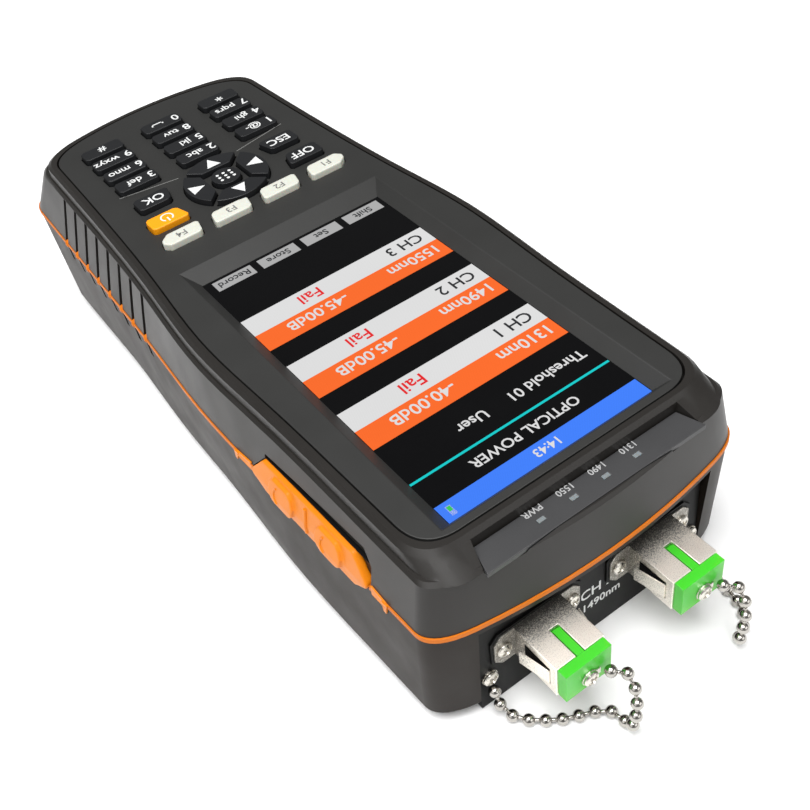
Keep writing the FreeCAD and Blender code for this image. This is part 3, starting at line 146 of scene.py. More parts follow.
def make_moulded_skin():
    """Clouded tint, eroded grain and handled satin of moulded plastic and rubber."""
    group, given, result = shader_group(
        "moulded_skin",
        (("Tint", "NodeSocketColor"), ("Clouding", "NodeSocketFloat"), ("Grain", "NodeSocketFloat"),
         ("Satin", "NodeSocketFloat")),
        (("Colour", "NodeSocketColor"), ("Roughness", "NodeSocketFloat"), ("Height", "NodeSocketFloat")),
    )
    place = object_place(group)
    clouds = noise(group, place, 45.0, 4.0)
    grain = noise(group, place, given.outputs["Grain"], 3.0)
    swing = maths(group, "MULTIPLY", maths(group, "SUBTRACT", clouds, 0.5), given.outputs["Clouding"])
    speck = maths(group, "MULTIPLY", maths(group, "SUBTRACT", grain, 0.5), given.outputs["Clouding"])
    factor = maths(group, "ADD", maths(group, "ADD", swing, speck), 1.0)
    group.links.new(shaded(group, given.outputs["Tint"], factor), result.inputs["Colour"])
    handled = maths(group, "MULTIPLY", maths(group, "SUBTRACT", noise(group, place, 90.0, 5.0), 0.5), 0.22)
    group.links.new(maths(group, "ADD", given.outputs["Satin"], handled), result.inputs["Roughness"])
    group.links.new(grain, result.inputs["Height"])
    return group


def make_plated_skin():
    """Bright plating over a cast or stamped surface, with dull pits."""
    group, given, result = shader_group(
        "plated_skin",
        (("Tint", "NodeSocketColor"), ("Pits", "NodeSocketFloat"), ("Grain", "NodeSocketFloat"),
         ("Polish", "NodeSocketFloat")),
        (("Colour", "NodeSocketColor"), ("Roughness", "NodeSocketFloat"), ("Height", "NodeSocketFloat")),
    )
    place = object_place(group)
    grain = noise(group, place, given.outputs["Grain"], 4.0)
    deep = maths(group, "MULTIPLY", maths(group, "SUBTRACT", 0.52, grain), 6.0)
    pit = group.nodes.new("ShaderNodeClamp")
    group.links.new(deep, pit.inputs["Value"])
    dulled = maths(group, "MULTIPLY", pit.outputs[0], given.outputs["Pits"])
    factor = maths(group, "SUBTRACT", 1.0, dulled)
    group.links.new(shaded(group, given.outputs["Tint"], factor), result.inputs["Colour"])
    smear = maths(group, "MULTIPLY", noise(group, place, 240.0, 4.0), 0.1)
    rough = maths(group, "ADD", given.outputs["Polish"], maths(group, "ADD", smear, dulled))
    group.links.new(rough, result.inputs["Roughness"])
    group.links.new(grain, result.inputs["Height"])
    return group


def make_specks_and_painted_shade():
    """Dull specks on the plating, with painted shade that crowds them towards the panel behind it."""
    group, given, result = shader_group(
        "specks_and_painted_shade",
        (("Tint", "NodeSocketColor"), ("Start", "NodeSocketFloat"), ("Reach", "NodeSocketFloat"),
         ("Depth", "NodeSocketFloat")),
        (("Colour", "NodeSocketColor"),),
    )
    place = object_place(group)
    split = group.nodes.new("ShaderNodeSeparateXYZ")
    group.links.new(place, split.inputs[0])
    behind = maths(group, "DIVIDE", maths(group, "SUBTRACT", split.outputs["Y"], given.outputs["Start"]),
                   given.outputs["Reach"])
    # Painted shade: a ramp that darkens the plating towards the panel, where the panel's wall shades it.
    painted_shade_ramp = group.nodes.new("ShaderNodeClamp")
    group.links.new(behind, painted_shade_ramp.inputs["Value"])
    specks = noise(group, place, 3800.0, 3.0)
    specks_with_shade = maths(group, "ADD", maths(group, "SUBTRACT", specks, 0.72),
                  maths(group, "MULTIPLY", painted_shade_ramp.outputs[0], 0.5))
    mask = group.nodes.new("ShaderNodeClamp")
    group.links.new(maths(group, "MULTIPLY", specks_with_shade, 4.0), mask.inputs["Value"])
    factor = maths(group, "SUBTRACT", 1.0, maths(group, "MULTIPLY", mask.outputs[0], given.outputs["Depth"]))
    group.links.new(shaded(group, given.outputs["Tint"], factor), result.inputs["Colour"])
    return group


def make_pixel_mesh():
    """The fine mesh of a colour display's cells over its picture."""
    group, given, result = shader_group(
        "pixel_mesh",
        (("Tint", "NodeSocketColor"), ("Cells", "NodeSocketFloat"), ("Depth", "NodeSocketFloat")),
        (("Colour", "NodeSocketColor"), ("Roughness", "NodeSocketFloat")),
    )
    place = object_place(group)
    cells = group.nodes.new("ShaderNodeTexChecker")
    group.links.new(place, cells.inputs["Vector"])
    group.links.new(given.outputs["Cells"], cells.inputs["Scale"])
    glow = noise(group, place, 18.0, 1.0)
    dim = maths(group, "MULTIPLY", cells.outputs["Fac"], given.outputs["Depth"])
    factor = maths(group, "ADD", maths(group, "SUBTRACT", 0.95, dim), maths(group, "MULTIPLY", glow, 0.1))
    group.links.new(shaded(group, given.outputs["Tint"], factor), result.inputs["Colour"])
    group.links.new(maths(group, "MULTIPLY", noise(group, place, 60.0, 4.0), 0.24),
                    result.inputs["Roughness"])
    return group


MOULDED_SKIN = make_moulded_skin()
PLATED_SKIN = make_plated_skin()
SPECKS_AND_PAINTED_SHADE = make_specks_and_painted_shade()
PIXEL_MESH = make_pixel_mesh()


# ---- finishes ----

def blank_finish(name):
    """A new material with its shader."""
    material = bpy.data.materials.new(name)
    material.use_nodes = True
    tree = material.node_tree
    return material, tree, tree.nodes["Principled BSDF"]


def placed(tree, group, **values):
    """A shader group in a material, with its own values."""
    node = tree.nodes.new("ShaderNodeGroup")
    node.node_tree = group
    for label, value in values.items():
        node.inputs[label].default_value = value
    return node


def grained(tree, shader, skin, relief, depth):
    """Feed a skin's height to the shader as a bump."""
    bump = tree.nodes.new("ShaderNodeBump")
    bump.inputs["Strength"].default_value = relief
    bump.inputs["Distance"].default_value = depth
    tree.links.new(skin.outputs["Height"], bump.inputs["Height"])
    tree.links.new(bump.outputs["Normal"], shader.inputs["Normal"])


def moulded(name, tint, clouding, grain, satin, relief, **sockets):
    """A moulded plastic or rubber."""
    material, tree, shader = blank_finish(name)
    skin = placed(tree, MOULDED_SKIN, Tint=tint, Clouding=clouding, Grain=grain, Satin=satin)
    tree.links.new(skin.outputs["Colour"], shader.inputs["Base Color"])
    tree.links.new(skin.outputs["Roughness"], shader.inputs["Roughness"])
    grained(tree, shader, skin, relief, 0.05 * MM)
    for label, value in sockets.items():
        shader.inputs[label.replace("_", " ")].default_value = value
    return material


def plated(name, tint, pits, grain, polish, relief):
    """A plated or polished metal."""
    material, tree, shader = blank_finish(name)
    skin = placed(tree, PLATED_SKIN, Tint=tint, Pits=pits, Grain=grain, Polish=polish)
    tree.links.new(skin.outputs["Colour"], shader.inputs["Base Color"])
    tree.links.new(skin.outputs["Roughness"], shader.inputs["Roughness"])
    grained(tree, shader, skin, relief, 0.05 * MM)
    shader.inputs["Metallic"].default_value = 1.0
    return material


def speckle_and_shade(material, start, reach, depth):
    """Let dull specks and painted shade gather on a plated finish from a length on, over a reach."""
    tree = material.node_tree
    colour = tree.nodes["Principled BSDF"].inputs["Base Color"]
    specks = placed(tree, SPECKS_AND_PAINTED_SHADE, Start=start, Reach=reach, Depth=depth)
    tree.links.new(colour.links[0].from_socket, specks.inputs["Tint"])
    tree.links.new(specks.outputs["Colour"], colour)


def lit_ink(name, tint, cells=4200.0):
    """A colour of the lit display behind its window."""
    material, tree, shader = blank_finish(name)
    skin = placed(tree, PIXEL_MESH, Tint=tint, Cells=cells, Depth=0.06)
    tree.links.new(skin.outputs["Colour"], shader.inputs["Emission Color"])
    tree.links.new(skin.outputs["Roughness"], shader.inputs["Roughness"])
    shader.inputs["Emission Strength"].default_value = 1.0
    shader.inputs["Base Color"].default_value = paint(8, 8, 9)
    shader.inputs["Specular IOR Level"].default_value = 0.1
    return material


CASE_PLASTIC = moulded("case_plastic", paint(36, 34, 32), 0.16, 2600.0, 0.36, 0.07, Specular_IOR_Level=0.26)
REAR_PLASTIC = moulded("rear_plastic", paint(35, 30, 26), 0.18, 2600.0, 0.42, 0.08, Specular_IOR_Level=0.08)
PANEL_PLASTIC = moulded("panel_plastic", paint(40, 40, 39), 0.14, 3000.0, 0.5, 0.08, Specular_IOR_Level=0.35)
LIGHT_PLATE = moulded("light_plate_plastic", paint(56, 56, 57), 0.14, 3000.0, 0.44, 0.08,
                      Specular_IOR_Level=0.4)
BAY_PLASTIC = moulded("bay_plastic", paint(12, 12, 12), 0.22, 1700.0, 0.5, 0.16, Specular_IOR_Level=0.15)
SLOT_SHADE = moulded("slot_shade", paint(9, 9, 9), 0.2, 1700.0, 0.7, 0.1, Specular_IOR_Level=0.1)
KEY_RUBBER = moulded("key_rubber", paint(23, 24, 26), 0.2, 2200.0, 0.42, 0.08, Specular_IOR_Level=0.4)
WHITE_KEY = moulded("white_key_rubber", paint(200, 198, 187), 0.05, 2200.0, 0.42, 0.05,
                    Subsurface_Weight=0.08)
AMBER_KEY = moulded("amber_key_rubber", paint(236, 150, 2), 0.08, 2200.0, 0.38, 0.05)
ORANGE_RUBBER = moulded("orange_rubber", paint(214, 120, 8), 0.12, 2400.0, 0.42, 0.08,
                        Specular_IOR_Level=0.22)
DEEP_ORANGE = moulded("deep_orange_rubber", paint(196, 104, 12), 0.12, 2400.0, 0.5, 0.08,
                      Specular_IOR_Level=0.15)
GREEN_PLASTIC = moulded("green_plastic", paint(58, 184, 36), 0.1, 1500.0, 0.34, 0.06, Subsurface_Weight=0.06)
WINDOW_GLASS = moulded("window_glass", paint(9, 9, 10), 0.2, 900.0, 0.24, 0.01, Specular_IOR_Level=0.1)
LIGHT_LENS = moulded("light_lens", paint(124, 126, 126), 0.1, 2600.0, 0.3, 0.05, Subsurface_Weight=0.2)
LEGEND_INK = moulded("legend_ink", paint(212, 213, 212), 0.05, 3200.0, 0.5, 0.04)
PLATE_INK = moulded("plate_ink", paint(160, 160, 160), 0.06, 3200.0, 0.5, 0.04)
GREY_INK = moulded("grey_ink", paint(112, 112, 110), 0.08, 3200.0, 0.5, 0.04)
NICKEL = plated("nickel_plating", (0.98, 0.93, 0.84, 1), 0.25, 4600.0, 0.36, 0.4)
# The nickel's specks crowd into painted shade towards the flange.
speckle_and_shade(NICKEL, -115.0 * MM, 10.5 * MM, 0.72)
SCREW_STEEL = plated("screw_steel", (0.64, 0.61, 0.55, 1), 0.16, 1300.0, 0.18, 0.12)
CHAIN_STEEL = plated("chain_steel", (0.44, 0.42, 0.39, 1), 0.08, 900.0, 0.1, 0.04)
SOCKET_STEEL = plated("socket_steel", (0.6, 0.6, 0.6, 1), 0.2, 1200.0, 0.24, 0.1)
JACK_PLASTIC = moulded("jack_plastic", paint(28, 28, 28), 0.2, 1600.0, 0.5, 0.1)
BOARD_LAMINATE = moulded("board_laminate", paint(28, 84, 48), 0.3, 700.0, 0.4, 0.1)
MEMBRANE_RUBBER = moulded("membrane_rubber", paint(150, 150, 146), 0.12, 900.0, 0.55, 0.1)
DISPLAY_CAN = plated("display_can", (0.52, 0.52, 0.54, 1), 0.15, 900.0, 0.3, 0.1)
CERAMIC = moulded("sleeve_ceramic", paint(236, 234, 226), 0.05, 2000.0, 0.24, 0.03)
DETECTOR_METAL = plated("detector_metal", (0.42, 0.43, 0.45, 1), 0.2, 1000.0, 0.32, 0.14)
CELL_WRAP = moulded("cell_wrap", paint(58, 92, 160), 0.14, 800.0, 0.3, 0.06)

NODE_FINISHES = {
    "front_shell": CASE_PLASTIC, "rear_shell": REAR_PLASTIC, "seam_gasket": DEEP_ORANGE,
    "port_cover": ORANGE_RUBBER, "front_panel": PANEL_PLASTIC, "screen_window": WINDOW_GLASS,
    "display_module": DISPLAY_CAN, "main_board": BOARD_LAMINATE, "keypad_membrane": MEMBRANE_RUBBER,
    "led_plate": LIGHT_PLATE, "led_windows": LIGHT_LENS, "connector_panel": BAY_PLASTIC,
    "detector_block": DETECTOR_METAL, "anchor_eyelets": SCREW_STEEL, "anchor_screws": SCREW_STEEL,
    "adapter_screws": SCREW_STEEL, "case_screws": SCREW_STEEL, "battery_cover_screws": SCREW_STEEL,
    "battery_cover": REAR_PLASTIC, "battery_pack": CELL_WRAP, "usb_socket": SOCKET_STEEL,
    "dc_jack": JACK_PLASTIC,
}
for side in CHAIN_ROUTES:
    NODE_FINISHES.update({
        f"adapter_{side}": NICKEL, f"sleeve_{side}": CERAMIC, f"dust_cap_{side}": GREEN_PLASTIC,
        f"cap_eyelet_{side}": SCREW_STEEL, f"cap_screw_{side}": SCREW_STEEL, f"cap_chain_{side}": CHAIN_STEEL,
    })
KEY_FINISHES = {"key_power": AMBER_KEY}
KEY_FINISHES.update({f"key_f{number}": WHITE_KEY for number in range(1, 5)})
for label, solid in nodes.items():
    finish = NODE_FINISHES.get(label) or KEY_FINISHES.get(label, KEY_RUBBER)
    solid.data.materials.clear()
    solid.data.materials.append(finish)


# ---- eased edges of the CAD solids ----

def ease(label, width, segments=2):
    """Round a solid's sharp edges a little, as its mould or its tumbling leaves them."""
    solid = nodes[label]
    solid.modifiers.new("joined_facets", "WELD").merge_threshold = 0.002 * MM
    flat = solid.modifiers.new("whole_faces", "DECIMATE")
    flat.decimate_type = "DISSOLVE"
    flat.angle_limit = math.radians(0.4)
    edge = solid.modifiers.new("eased_edges", "BEVEL")
    edge.width = width
    edge.segments = segments
    edge.limit_method = "ANGLE"
    edge.angle_limit = math.radians(32)
    solid.modifiers.new("even_shading", "WEIGHTED_NORMAL").keep_sharp = True


def soften(label, cell, rounds):
    """Give a moulded rubber solid the soft skin of its mould."""
    solid = nodes[label]
    skin = solid.modifiers.new("soft_skin", "REMESH")
    skin.mode = "VOXEL"
    skin.voxel_size = cell
    skin.use_smooth_shade = True
    rub = solid.modifiers.new("rubbed_skin", "SMOOTH")
    rub.factor = 0.5
    rub.iterations = rounds


KEY_LABELS = [label for label in nodes if label.startswith("key_")]
for label in KEY_LABELS:
    if label in KEY_FINISHES:
        soften(label, 0.2 * MM, 14)
    else:
        ease(label, 0.62 * MM, 4)
soften("port_cover", 0.22 * MM, 10)
ease("front_shell", 0.42 * MM, 3)
for label in ("rear_shell", "seam_gasket", "front_panel", "led_plate", "connector_panel"):
    ease(label, 0.22 * MM)
for side in CHAIN_ROUTES:
    ease(f"adapter_{side}", 0.16 * MM)
    ease(f"dust_cap_{side}", 0.3 * MM)
    ease(f"cap_eyelet_{side}", 0.08 * MM)


# ---- pieces ----

def piece(name, mesh, finishes, body):
    """A finished mesh that rides on a body of the frame."""
    made = bpy.data.objects.new(name, mesh)
    scene.collection.objects.link(made)
    for finish in finishes:
        mesh.materials.append(finish)
    if body:
        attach(made, body)
    return made


def mesh_of(shape, name, smooth=False):
    """Turn a bmesh into a mesh."""
    bmesh.ops.recalc_face_normals(shape, faces=shape.faces)
    mesh = bpy.data.meshes.new(name)
    shape.to_mesh(mesh)
    shape.free()
    if smooth:
        mesh.shade_smooth()
    return mesh


def readable(x, y, z):
    """Turn a drawing in the reader's sense so that it lies at a place on the meter."""
    return Matrix.Translation((x, y, z)) @ Matrix.Rotation(math.pi, 4, "Z")


def add_words(shape, words, cap_height, align, where, slot=0):
    """Add raised lettering to a bmesh, half way up its capitals at the place."""
    drawing = bpy.data.curves.new("words", "FONT")
    drawing.body = words
    drawing.size = cap_height / CAP_HEIGHT_OF_FONT
    drawing.align_x = align
    drawing.extrude = INK_THICKNESS / 2
    drawing.resolution_u = 3
    drawing.offset = 0.016 * cap_height
    holder = bpy.data.objects.new("words", drawing)
    scene.collection.objects.link(holder)
    bpy.context.view_layer.update()
    letters = bpy.data.meshes.new_from_object(holder.evaluated_get(bpy.context.evaluated_depsgraph_get()))
    letters.transform(where @ Matrix.Translation((0, -cap_height / 2, 0)))
    first = len(shape.faces)
    shape.from_mesh(letters)
    shape.faces.ensure_lookup_table()
    for face in shape.faces[first:]:
        face.material_index = slot
    bpy.data.objects.remove(holder)
    bpy.data.curves.remove(drawing)
    bpy.data.meshes.remove(letters)


def add_slab(shape, corners, shift, slot=0):
    """Add a closed slab between a loop of corners and its shifted copy to a bmesh."""
    bottom = [shape.verts.new(corner) for corner in corners]
    top = [shape.verts.new(Vector(corner) + Vector(shift)) for corner in corners]
    faces = [shape.faces.new(top), shape.faces.new(list(reversed(bottom)))]
    for step in range(len(corners)):
        after = (step + 1) % len(corners)
        faces.append(shape.faces.new((bottom[step], bottom[after], top[after], top[step])))
    for face in faces:
        face.material_index = slot


def add_plate(shape, corners, low, high, slot=0):
    """Add a flat plate over a loop of corners in plan to a bmesh."""
    add_slab(shape, [(x, y, low) for x, y in corners], (0, 0, high - low), slot)


def oblong(left, right, near, far):
    """Corners of an upright oblong."""
    return [(left, near), (right, near), (right, far), (left, far)]


def middle_of(label):
    """Middle of a CAD node's box."""
    low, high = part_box(label)
    return (low + high) / 2


def add_blob(shape, centre, half):
    """Add an egg-shaped lump to a bmesh."""
    squeeze = Matrix.Translation(centre) @ Matrix.Diagonal((*half, 1))
    bmesh.ops.create_uvsphere(shape, u_segments=20, v_segments=12, radius=1, matrix=squeeze)


def add_tube(shape, points, radius):
    """Add a closed tube along points to a bmesh."""
    line = bpy.data.curves.new("tube", "CURVE")
    line.dimensions = "3D"
    line.bevel_depth = radius
    line.bevel_resolution = 3
    line.use_fill_caps = True
    spline = line.splines.new("POLY")
    spline.points.add(len(points) - 1)
    for point, place in zip(spline.points, points):
        point.co = (*place, 1)
    holder = bpy.data.objects.new("tube", line)
    scene.collection.objects.link(holder)
    bpy.context.view_layer.update()
    drawn = bpy.data.meshes.new_from_object(holder.evaluated_get(bpy.context.evaluated_depsgraph_get()))
    shape.from_mesh(drawn)
    bpy.data.objects.remove(holder)
    bpy.data.curves.remove(line)
    bpy.data.meshes.remove(drawn)


def add_band(shape, lower, upper, shift):
    """Add a closed band between two lines of points, as thick as a shift, to a bmesh."""
    edges = [[shape.verts.new(place + lift) for place in line]
             for line, lift in ((lower, Vector()), (lower, shift), (upper, shift), (upper, Vector()))]
    for first, second in zip(edges, edges[1:] + edges[:1]):
        for step in range(len(lower) - 1):
            shape.faces.new((first[step], first[step + 1], second[step + 1], second[step]))
    for step in (0, -1):
        shape.faces.new([edge[step] for edge in edges])


def wall_at(y, z, side, skins):
    """Place on the outside of a side wall at a length and a height."""
    start, inward = Vector((side * 0.1, y, z)), Vector((-side, 0, 0))
    hits = [skin.ray_cast(start, inward)[0] for skin in skins]
    return Vector((side * max((hit.x * side for hit in hits if hit), default=0.0), y, z))


# ---- key legends ----

NUMBER_LEGENDS = {
    "key_1": ("1", "@-"), "key_2": ("2", "abc"), "key_3": ("3", "def"),
    "key_4": ("4", "ghi"), "key_5": ("5", "jkl"), "key_6": ("6", "mno"),
    "key_7": ("7", "pqrs"), "key_8": ("8", "tuv"), "key_9": ("9", "wxyz"),
    "key_0": ("0", ""),
}
WORD_LEGENDS = {"key_off": ("OFF", 2.9), "key_escape": ("ESC", 2.9), "key_ok": ("OK", 2.9),
                "key_star": ("*", 3.6), "key_hash": ("#", 2.7)}
WORD_LEGENDS.update({f"key_f{number}": (f"F{number}", 2.2) for number in range(1, 5)})
DIGIT_HEIGHT = 3.0 * MM
LETTER_HEIGHT = 2.55 * MM
DIGIT_PLACE = 4.6 * MM
LETTER_PLACE = 1.9 * MM
ARROW_HALF = 2.1 * MM
ARROW_CORNERS = ((0, -ARROW_HALF), (ARROW_HALF, ARROW_HALF), (-ARROW_HALF, ARROW_HALF))
SPACE_PLACE = -1.2 * MM
SPACE_ARM = 1.9 * MM
SPACE_FOOT = 0.9 * MM
SPACE_HEAD = 0.3 * MM
SPACE_STROKE = 0.45 * MM
DOT_COLUMNS = 1.9 * MM
DOT_ROWS = 1.5 * MM
DOT_HOLE = 0.02 * MM
DOT_WIDTH = 0.44 * MM
POWER_RADIUS = 1.45 * MM
POWER_STROKE = 0.42 * MM
POWER_ANGLES = (math.radians(-55), math.radians(235))
POWER_BAR = (-2.0 * MM, -0.1 * MM)


def key_ink(label):
    """Middle of a key's top and the height of its printing."""
    centre, top = middle_of(label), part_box(label)[1].z
    return centre.x, centre.y, top + INK_LIFT


def print_key(label, shape, finish=LEGEND_INK):
    """Finish a key's printing and let it ride on its key."""
    piece(f"{label}_legend", mesh_of(shape, f"{label}_legend"), [finish], f"{label}_button")


def add_ring(shape, x, y, low, radius, width, first, last, steps=24):
    """Add a flat arc to a bmesh, from one angle to another."""
    for step in range(steps):
        angles = [first + (last - first) * number / steps for number in (step, step + 1)]
        corners = [(x + reach * math.cos(angle), y + reach * math.sin(angle))
                   for angle, reach in zip(angles + angles[::-1], [radius + width] * 2 + [radius] * 2)]
        add_plate(shape, corners, low, low + INK_THICKNESS)


for label, (digit, letters) in NUMBER_LEGENDS.items():
    x, y, z = key_ink(label)
    printing = bmesh.new()
    add_words(printing, digit, DIGIT_HEIGHT, "CENTER", readable(x + DIGIT_PLACE, y, z))
    if letters:
        add_words(printing, letters, LETTER_HEIGHT, "LEFT", readable(x + LETTER_PLACE, y, z))
    else:
        left, right, foot = x + SPACE_PLACE - SPACE_ARM, x + SPACE_PLACE + SPACE_ARM, y + SPACE_FOOT
        strokes = [oblong(left, right, foot - SPACE_STROKE, foot)]
        for end in (left, right - SPACE_STROKE):
            strokes.append(oblong(end, end + SPACE_STROKE, y - SPACE_HEAD, foot))
        for stroke in strokes:
            add_plate(printing, stroke, z, z + INK_THICKNESS)
    print_key(label, printing)
for label, (words, height) in WORD_LEGENDS.items():
    x, y, z = key_ink(label)
    printing = bmesh.new()
    add_words(printing, words, height * MM, "CENTER", readable(x, y, z))
    print_key(label, printing, GREY_INK if label in KEY_FINISHES else LEGEND_INK)
for label, turn in (("up", 0), ("left", 90), ("down", 180), ("right", 270)):
    x, y, z = key_ink(f"key_arrow_{label}")
    towards = Matrix.Rotation(math.radians(-turn), 2)
    tip = [towards @ Vector(corner) for corner in ARROW_CORNERS]
    printing = bmesh.new()
    add_plate(printing, [(x + corner.x, y + corner.y) for corner in tip], z, z + INK_THICKNESS)
    print_key(f"key_arrow_{label}", printing)

x, y, z = key_ink("key_menu")
printing = bmesh.new()
for row in (-1, 0, 1):
    for column in (-1, 0, 1):
        dot_x, dot_y = x + column * DOT_COLUMNS, y + row * DOT_ROWS
        add_ring(printing, dot_x, dot_y, z, DOT_HOLE, DOT_WIDTH, 0, 2 * math.pi, 12)
print_key("key_menu", printing)

x, y, z = key_ink("key_power")
printing = bmesh.new()
add_ring(printing, x, y, z, POWER_RADIUS, POWER_STROKE, *POWER_ANGLES)
upright = oblong(x - POWER_STROKE / 2, x + POWER_STROKE / 2, y + POWER_BAR[0], y + POWER_BAR[1])
add_plate(printing, upright, z, z + INK_THICKNESS)
print_key("key_power", printing)


# ---- the lit screen ----

SCREEN_COLOURS = (
    ("screen_blue", (66, 130, 255)), ("screen_orange", (255, 110, 42)), ("screen_white", (226, 226, 226)),
    ("screen_grey", (176, 176, 176)), ("screen_cyan", (20, 206, 206)), ("screen_red", (232, 40, 44)),
    ("screen_dark", (44, 46, 48)), ("screen_green", (60, 200, 90)),
)
SCREEN_INKS = [lit_ink(name, paint(*tint)) for name, tint in SCREEN_COLOURS]
SKY, ORANGE, WHITE, GREY, CYAN, RED, DARK, GREEN = range(len(SCREEN_INKS))

# Places and sizes of the picture are in millimetres; a row has a wavelength and level above a channel.
PICTURE_HALF = 26.9
ROWS = (
    (-66.7, "1310nm", "-40.00dB", "CH 1"), (-45.8, "1490nm", "-45.00dB", "CH 2"),
    (-24.6, "1550nm", "-45.00dB", "CH 3"),
)
ROW_HEIGHT = 6.95
SOFT_KEY_HALF = 5.55
SOFT_KEYS = ((20.15, "Shift"), (7.0, "Set"), (-6.1, "Store"), (-19.25, "Record"))

glass_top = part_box("screen_window")[1].z
plate_low, plate_high = glass_top + INK_LIFT, glass_top + INK_LIFT + INK_THICKNESS
word_level = plate_high + INK_THICKNESS / 2
picture = bmesh.new()


def bar(left, right, near, far, slot, layer=0):
    """A coloured bar of the picture, in millimetres, on another bar if its layer is higher."""
    rise = layer * INK_THICKNESS / 2
    corners = oblong(right * MM, left * MM, near * MM, far * MM)
    add_plate(picture, corners, plate_low + rise, plate_high + rise, slot)


def caption(words, height, x, y, slot, align="LEFT"):
    """Words of the picture, in millimetres."""
    add_words(picture, words, height * MM, align, readable(x * MM, y * MM, word_level), slot)


bar(PICTURE_HALF, -PICTURE_HALF, -92.5, -87.5, SKY)
caption("14:43", 2.2, 0.4, -89.9, WHITE, "CENTER")
bar(-23.9, -25.2, -91.4, -88.7, WHITE)
bar(-24.1, -25.0, -90.2, -88.9, GREEN, 1)
caption("OPTICAL POWER", 2.5, 0, -83.7, WHITE, "CENTER")
bar(PICTURE_HALF, -PICTURE_HALF, -79.9, -79.3, CYAN)
caption("Threshold 01", 2.7, 24.8, -74.0, WHITE)
caption("User", 2.7, -2.5, -74.0, WHITE)
for near, wavelength, level, channel in ROWS:
    bar(PICTURE_HALF, -PICTURE_HALF, near, near + ROW_HEIGHT, ORANGE)
    bar(PICTURE_HALF, -PICTURE_HALF, near + ROW_HEIGHT, near + 2 * ROW_HEIGHT, WHITE)
    caption(wavelength, 3.2, 25.4, near + 3.9, WHITE)
    caption(level, 3.2, -2.4, near + 3.9, WHITE)
    caption(channel, 3.3, 24.8, near + ROW_HEIGHT + 3.6, DARK)
    caption("Fail", 3.4, -5.6, near + ROW_HEIGHT + 3.6, RED)
for centre, words in SOFT_KEYS:
    bar(centre + SOFT_KEY_HALF, centre - SOFT_KEY_HALF, 3.5, 7.6, GREY)
    caption(words, 2.1, centre, 5.5, DARK, "CENTER")
piece("screen_picture", mesh_of(picture, "screen_picture"), SCREEN_INKS, "case")


# ---- printing beside the lights ----

LIGHTS_IN_PITCHES = 3.21
LABEL_HEIGHT = 1.5 * MM
LABEL_PLACE = 2.6 * MM
plate_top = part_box("led_plate")[1].z
lights = middle_of("led_windows")
lights_low, lights_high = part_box("led_windows")
light_pitch = (lights_high.x - lights_low.x) / LIGHTS_IN_PITCHES
printing = bmesh.new()
for step, words in enumerate(("1310", "1490", "1550", "PWR")):
    where = readable(lights.x + (1.5 - step) * light_pitch, lights.y + LABEL_PLACE, plate_top + INK_LIFT)
    add_words(printing, words, LABEL_HEIGHT, "CENTER", where)
piece("light_labels", mesh_of(printing, "light_labels"), [PLATE_INK], "case")


# ---- grip slots, seam and port cover ----

bpy.context.view_layer.update()
surfaces = bpy.context.evaluated_depsgraph_get()
shell_skins = [BVHTree.FromObject(nodes[label], surfaces) for label in ("front_shell", "rear_shell")]
case_skins = shell_skins + [BVHTree.FromObject(nodes["seam_gasket"], surfaces)]
cover_skin = BVHTree.FromObject(nodes["port_cover"], surfaces)

GRIP_FIRST = 19.2 * MM
GRIP_PITCH = 8.0 * MM
GRIP_SLOTS = 8
GRIP_HALF = 0.93 * MM
GRIP_SPANS = ((28.5 * MM, 33.2 * MM), (34.8 * MM, 47.0 * MM))
GRIP_SHADE = 1.0 * MM
RIB_OFFSET = 3 * MM
BEAD_SINK = 0.6 * MM
BEAD_HALF = (1.1 * MM, 1.15 * MM, 1.3 * MM)
seam_z = middle_of("seam_gasket").z
# Near-black sheets on the grip slots' floors are painted shade inside the slots.
shade, beads = bmesh.new(), bmesh.new()
across = Vector((0, GRIP_HALF, 0))
for number in range(GRIP_SLOTS):
    y = GRIP_FIRST + number * GRIP_PITCH
    for side in (-1, 1):
        for low, high in GRIP_SPANS:
            foot, head = [wall_at(y, z, side, shell_skins) for z in (low, high)]
            corners = [foot - across, foot + across, head + across, head - across]
            add_slab(shade, corners, (side * GRIP_SHADE, 0, 0))
        outer = wall_at(y + RIB_OFFSET, seam_z, side, case_skins).x
        add_blob(beads, (outer - side * BEAD_SINK, y, seam_z), BEAD_HALF)
piece("grip_slot_shade_sheets", mesh_of(shade, "grip_slot_shade_sheets"), [SLOT_SHADE], "case")
piece("gasket_beads", mesh_of(beads, "gasket_beads", True), [DEEP_ORANGE], "case")

DOME_PLACES = (9.1 * MM, -9.1 * MM)
CRESCENT_WIDTH = 2.3 * MM
CRESCENT_HEIGHT = 2.6 * MM
CRESCENT_ANGLES = [math.radians(120 + 12 * step) for step in range(11)]
CRESCENT_RADIUS = 0.3 * MM
RIDGE_RISES = [share * 0.1 * MM for share in range(-34, 37, 5)]
RIDGE_RADIUS = 0.5 * MM
cover = middle_of("port_cover")
marks = bmesh.new()
for offset in DOME_PLACES:
    arc = [(cover.y + offset - CRESCENT_WIDTH * math.cos(angle), cover.z + CRESCENT_HEIGHT * math.sin(angle))
           for angle in CRESCENT_ANGLES]
    add_tube(marks, [wall_at(y, z, -1, [cover_skin]) for y, z in arc], CRESCENT_RADIUS)
add_tube(marks, [wall_at(cover.y, cover.z + rise, -1, [cover_skin]) for rise in RIDGE_RISES], RIDGE_RADIUS)
piece("cover_marks", mesh_of(marks, "cover_marks", True), [ORANGE_RUBBER], "cover")

TAB_SINK = 0.3 * MM
TAB_THICKNESS = 0.65 * MM
TAB_SHY = 0.3

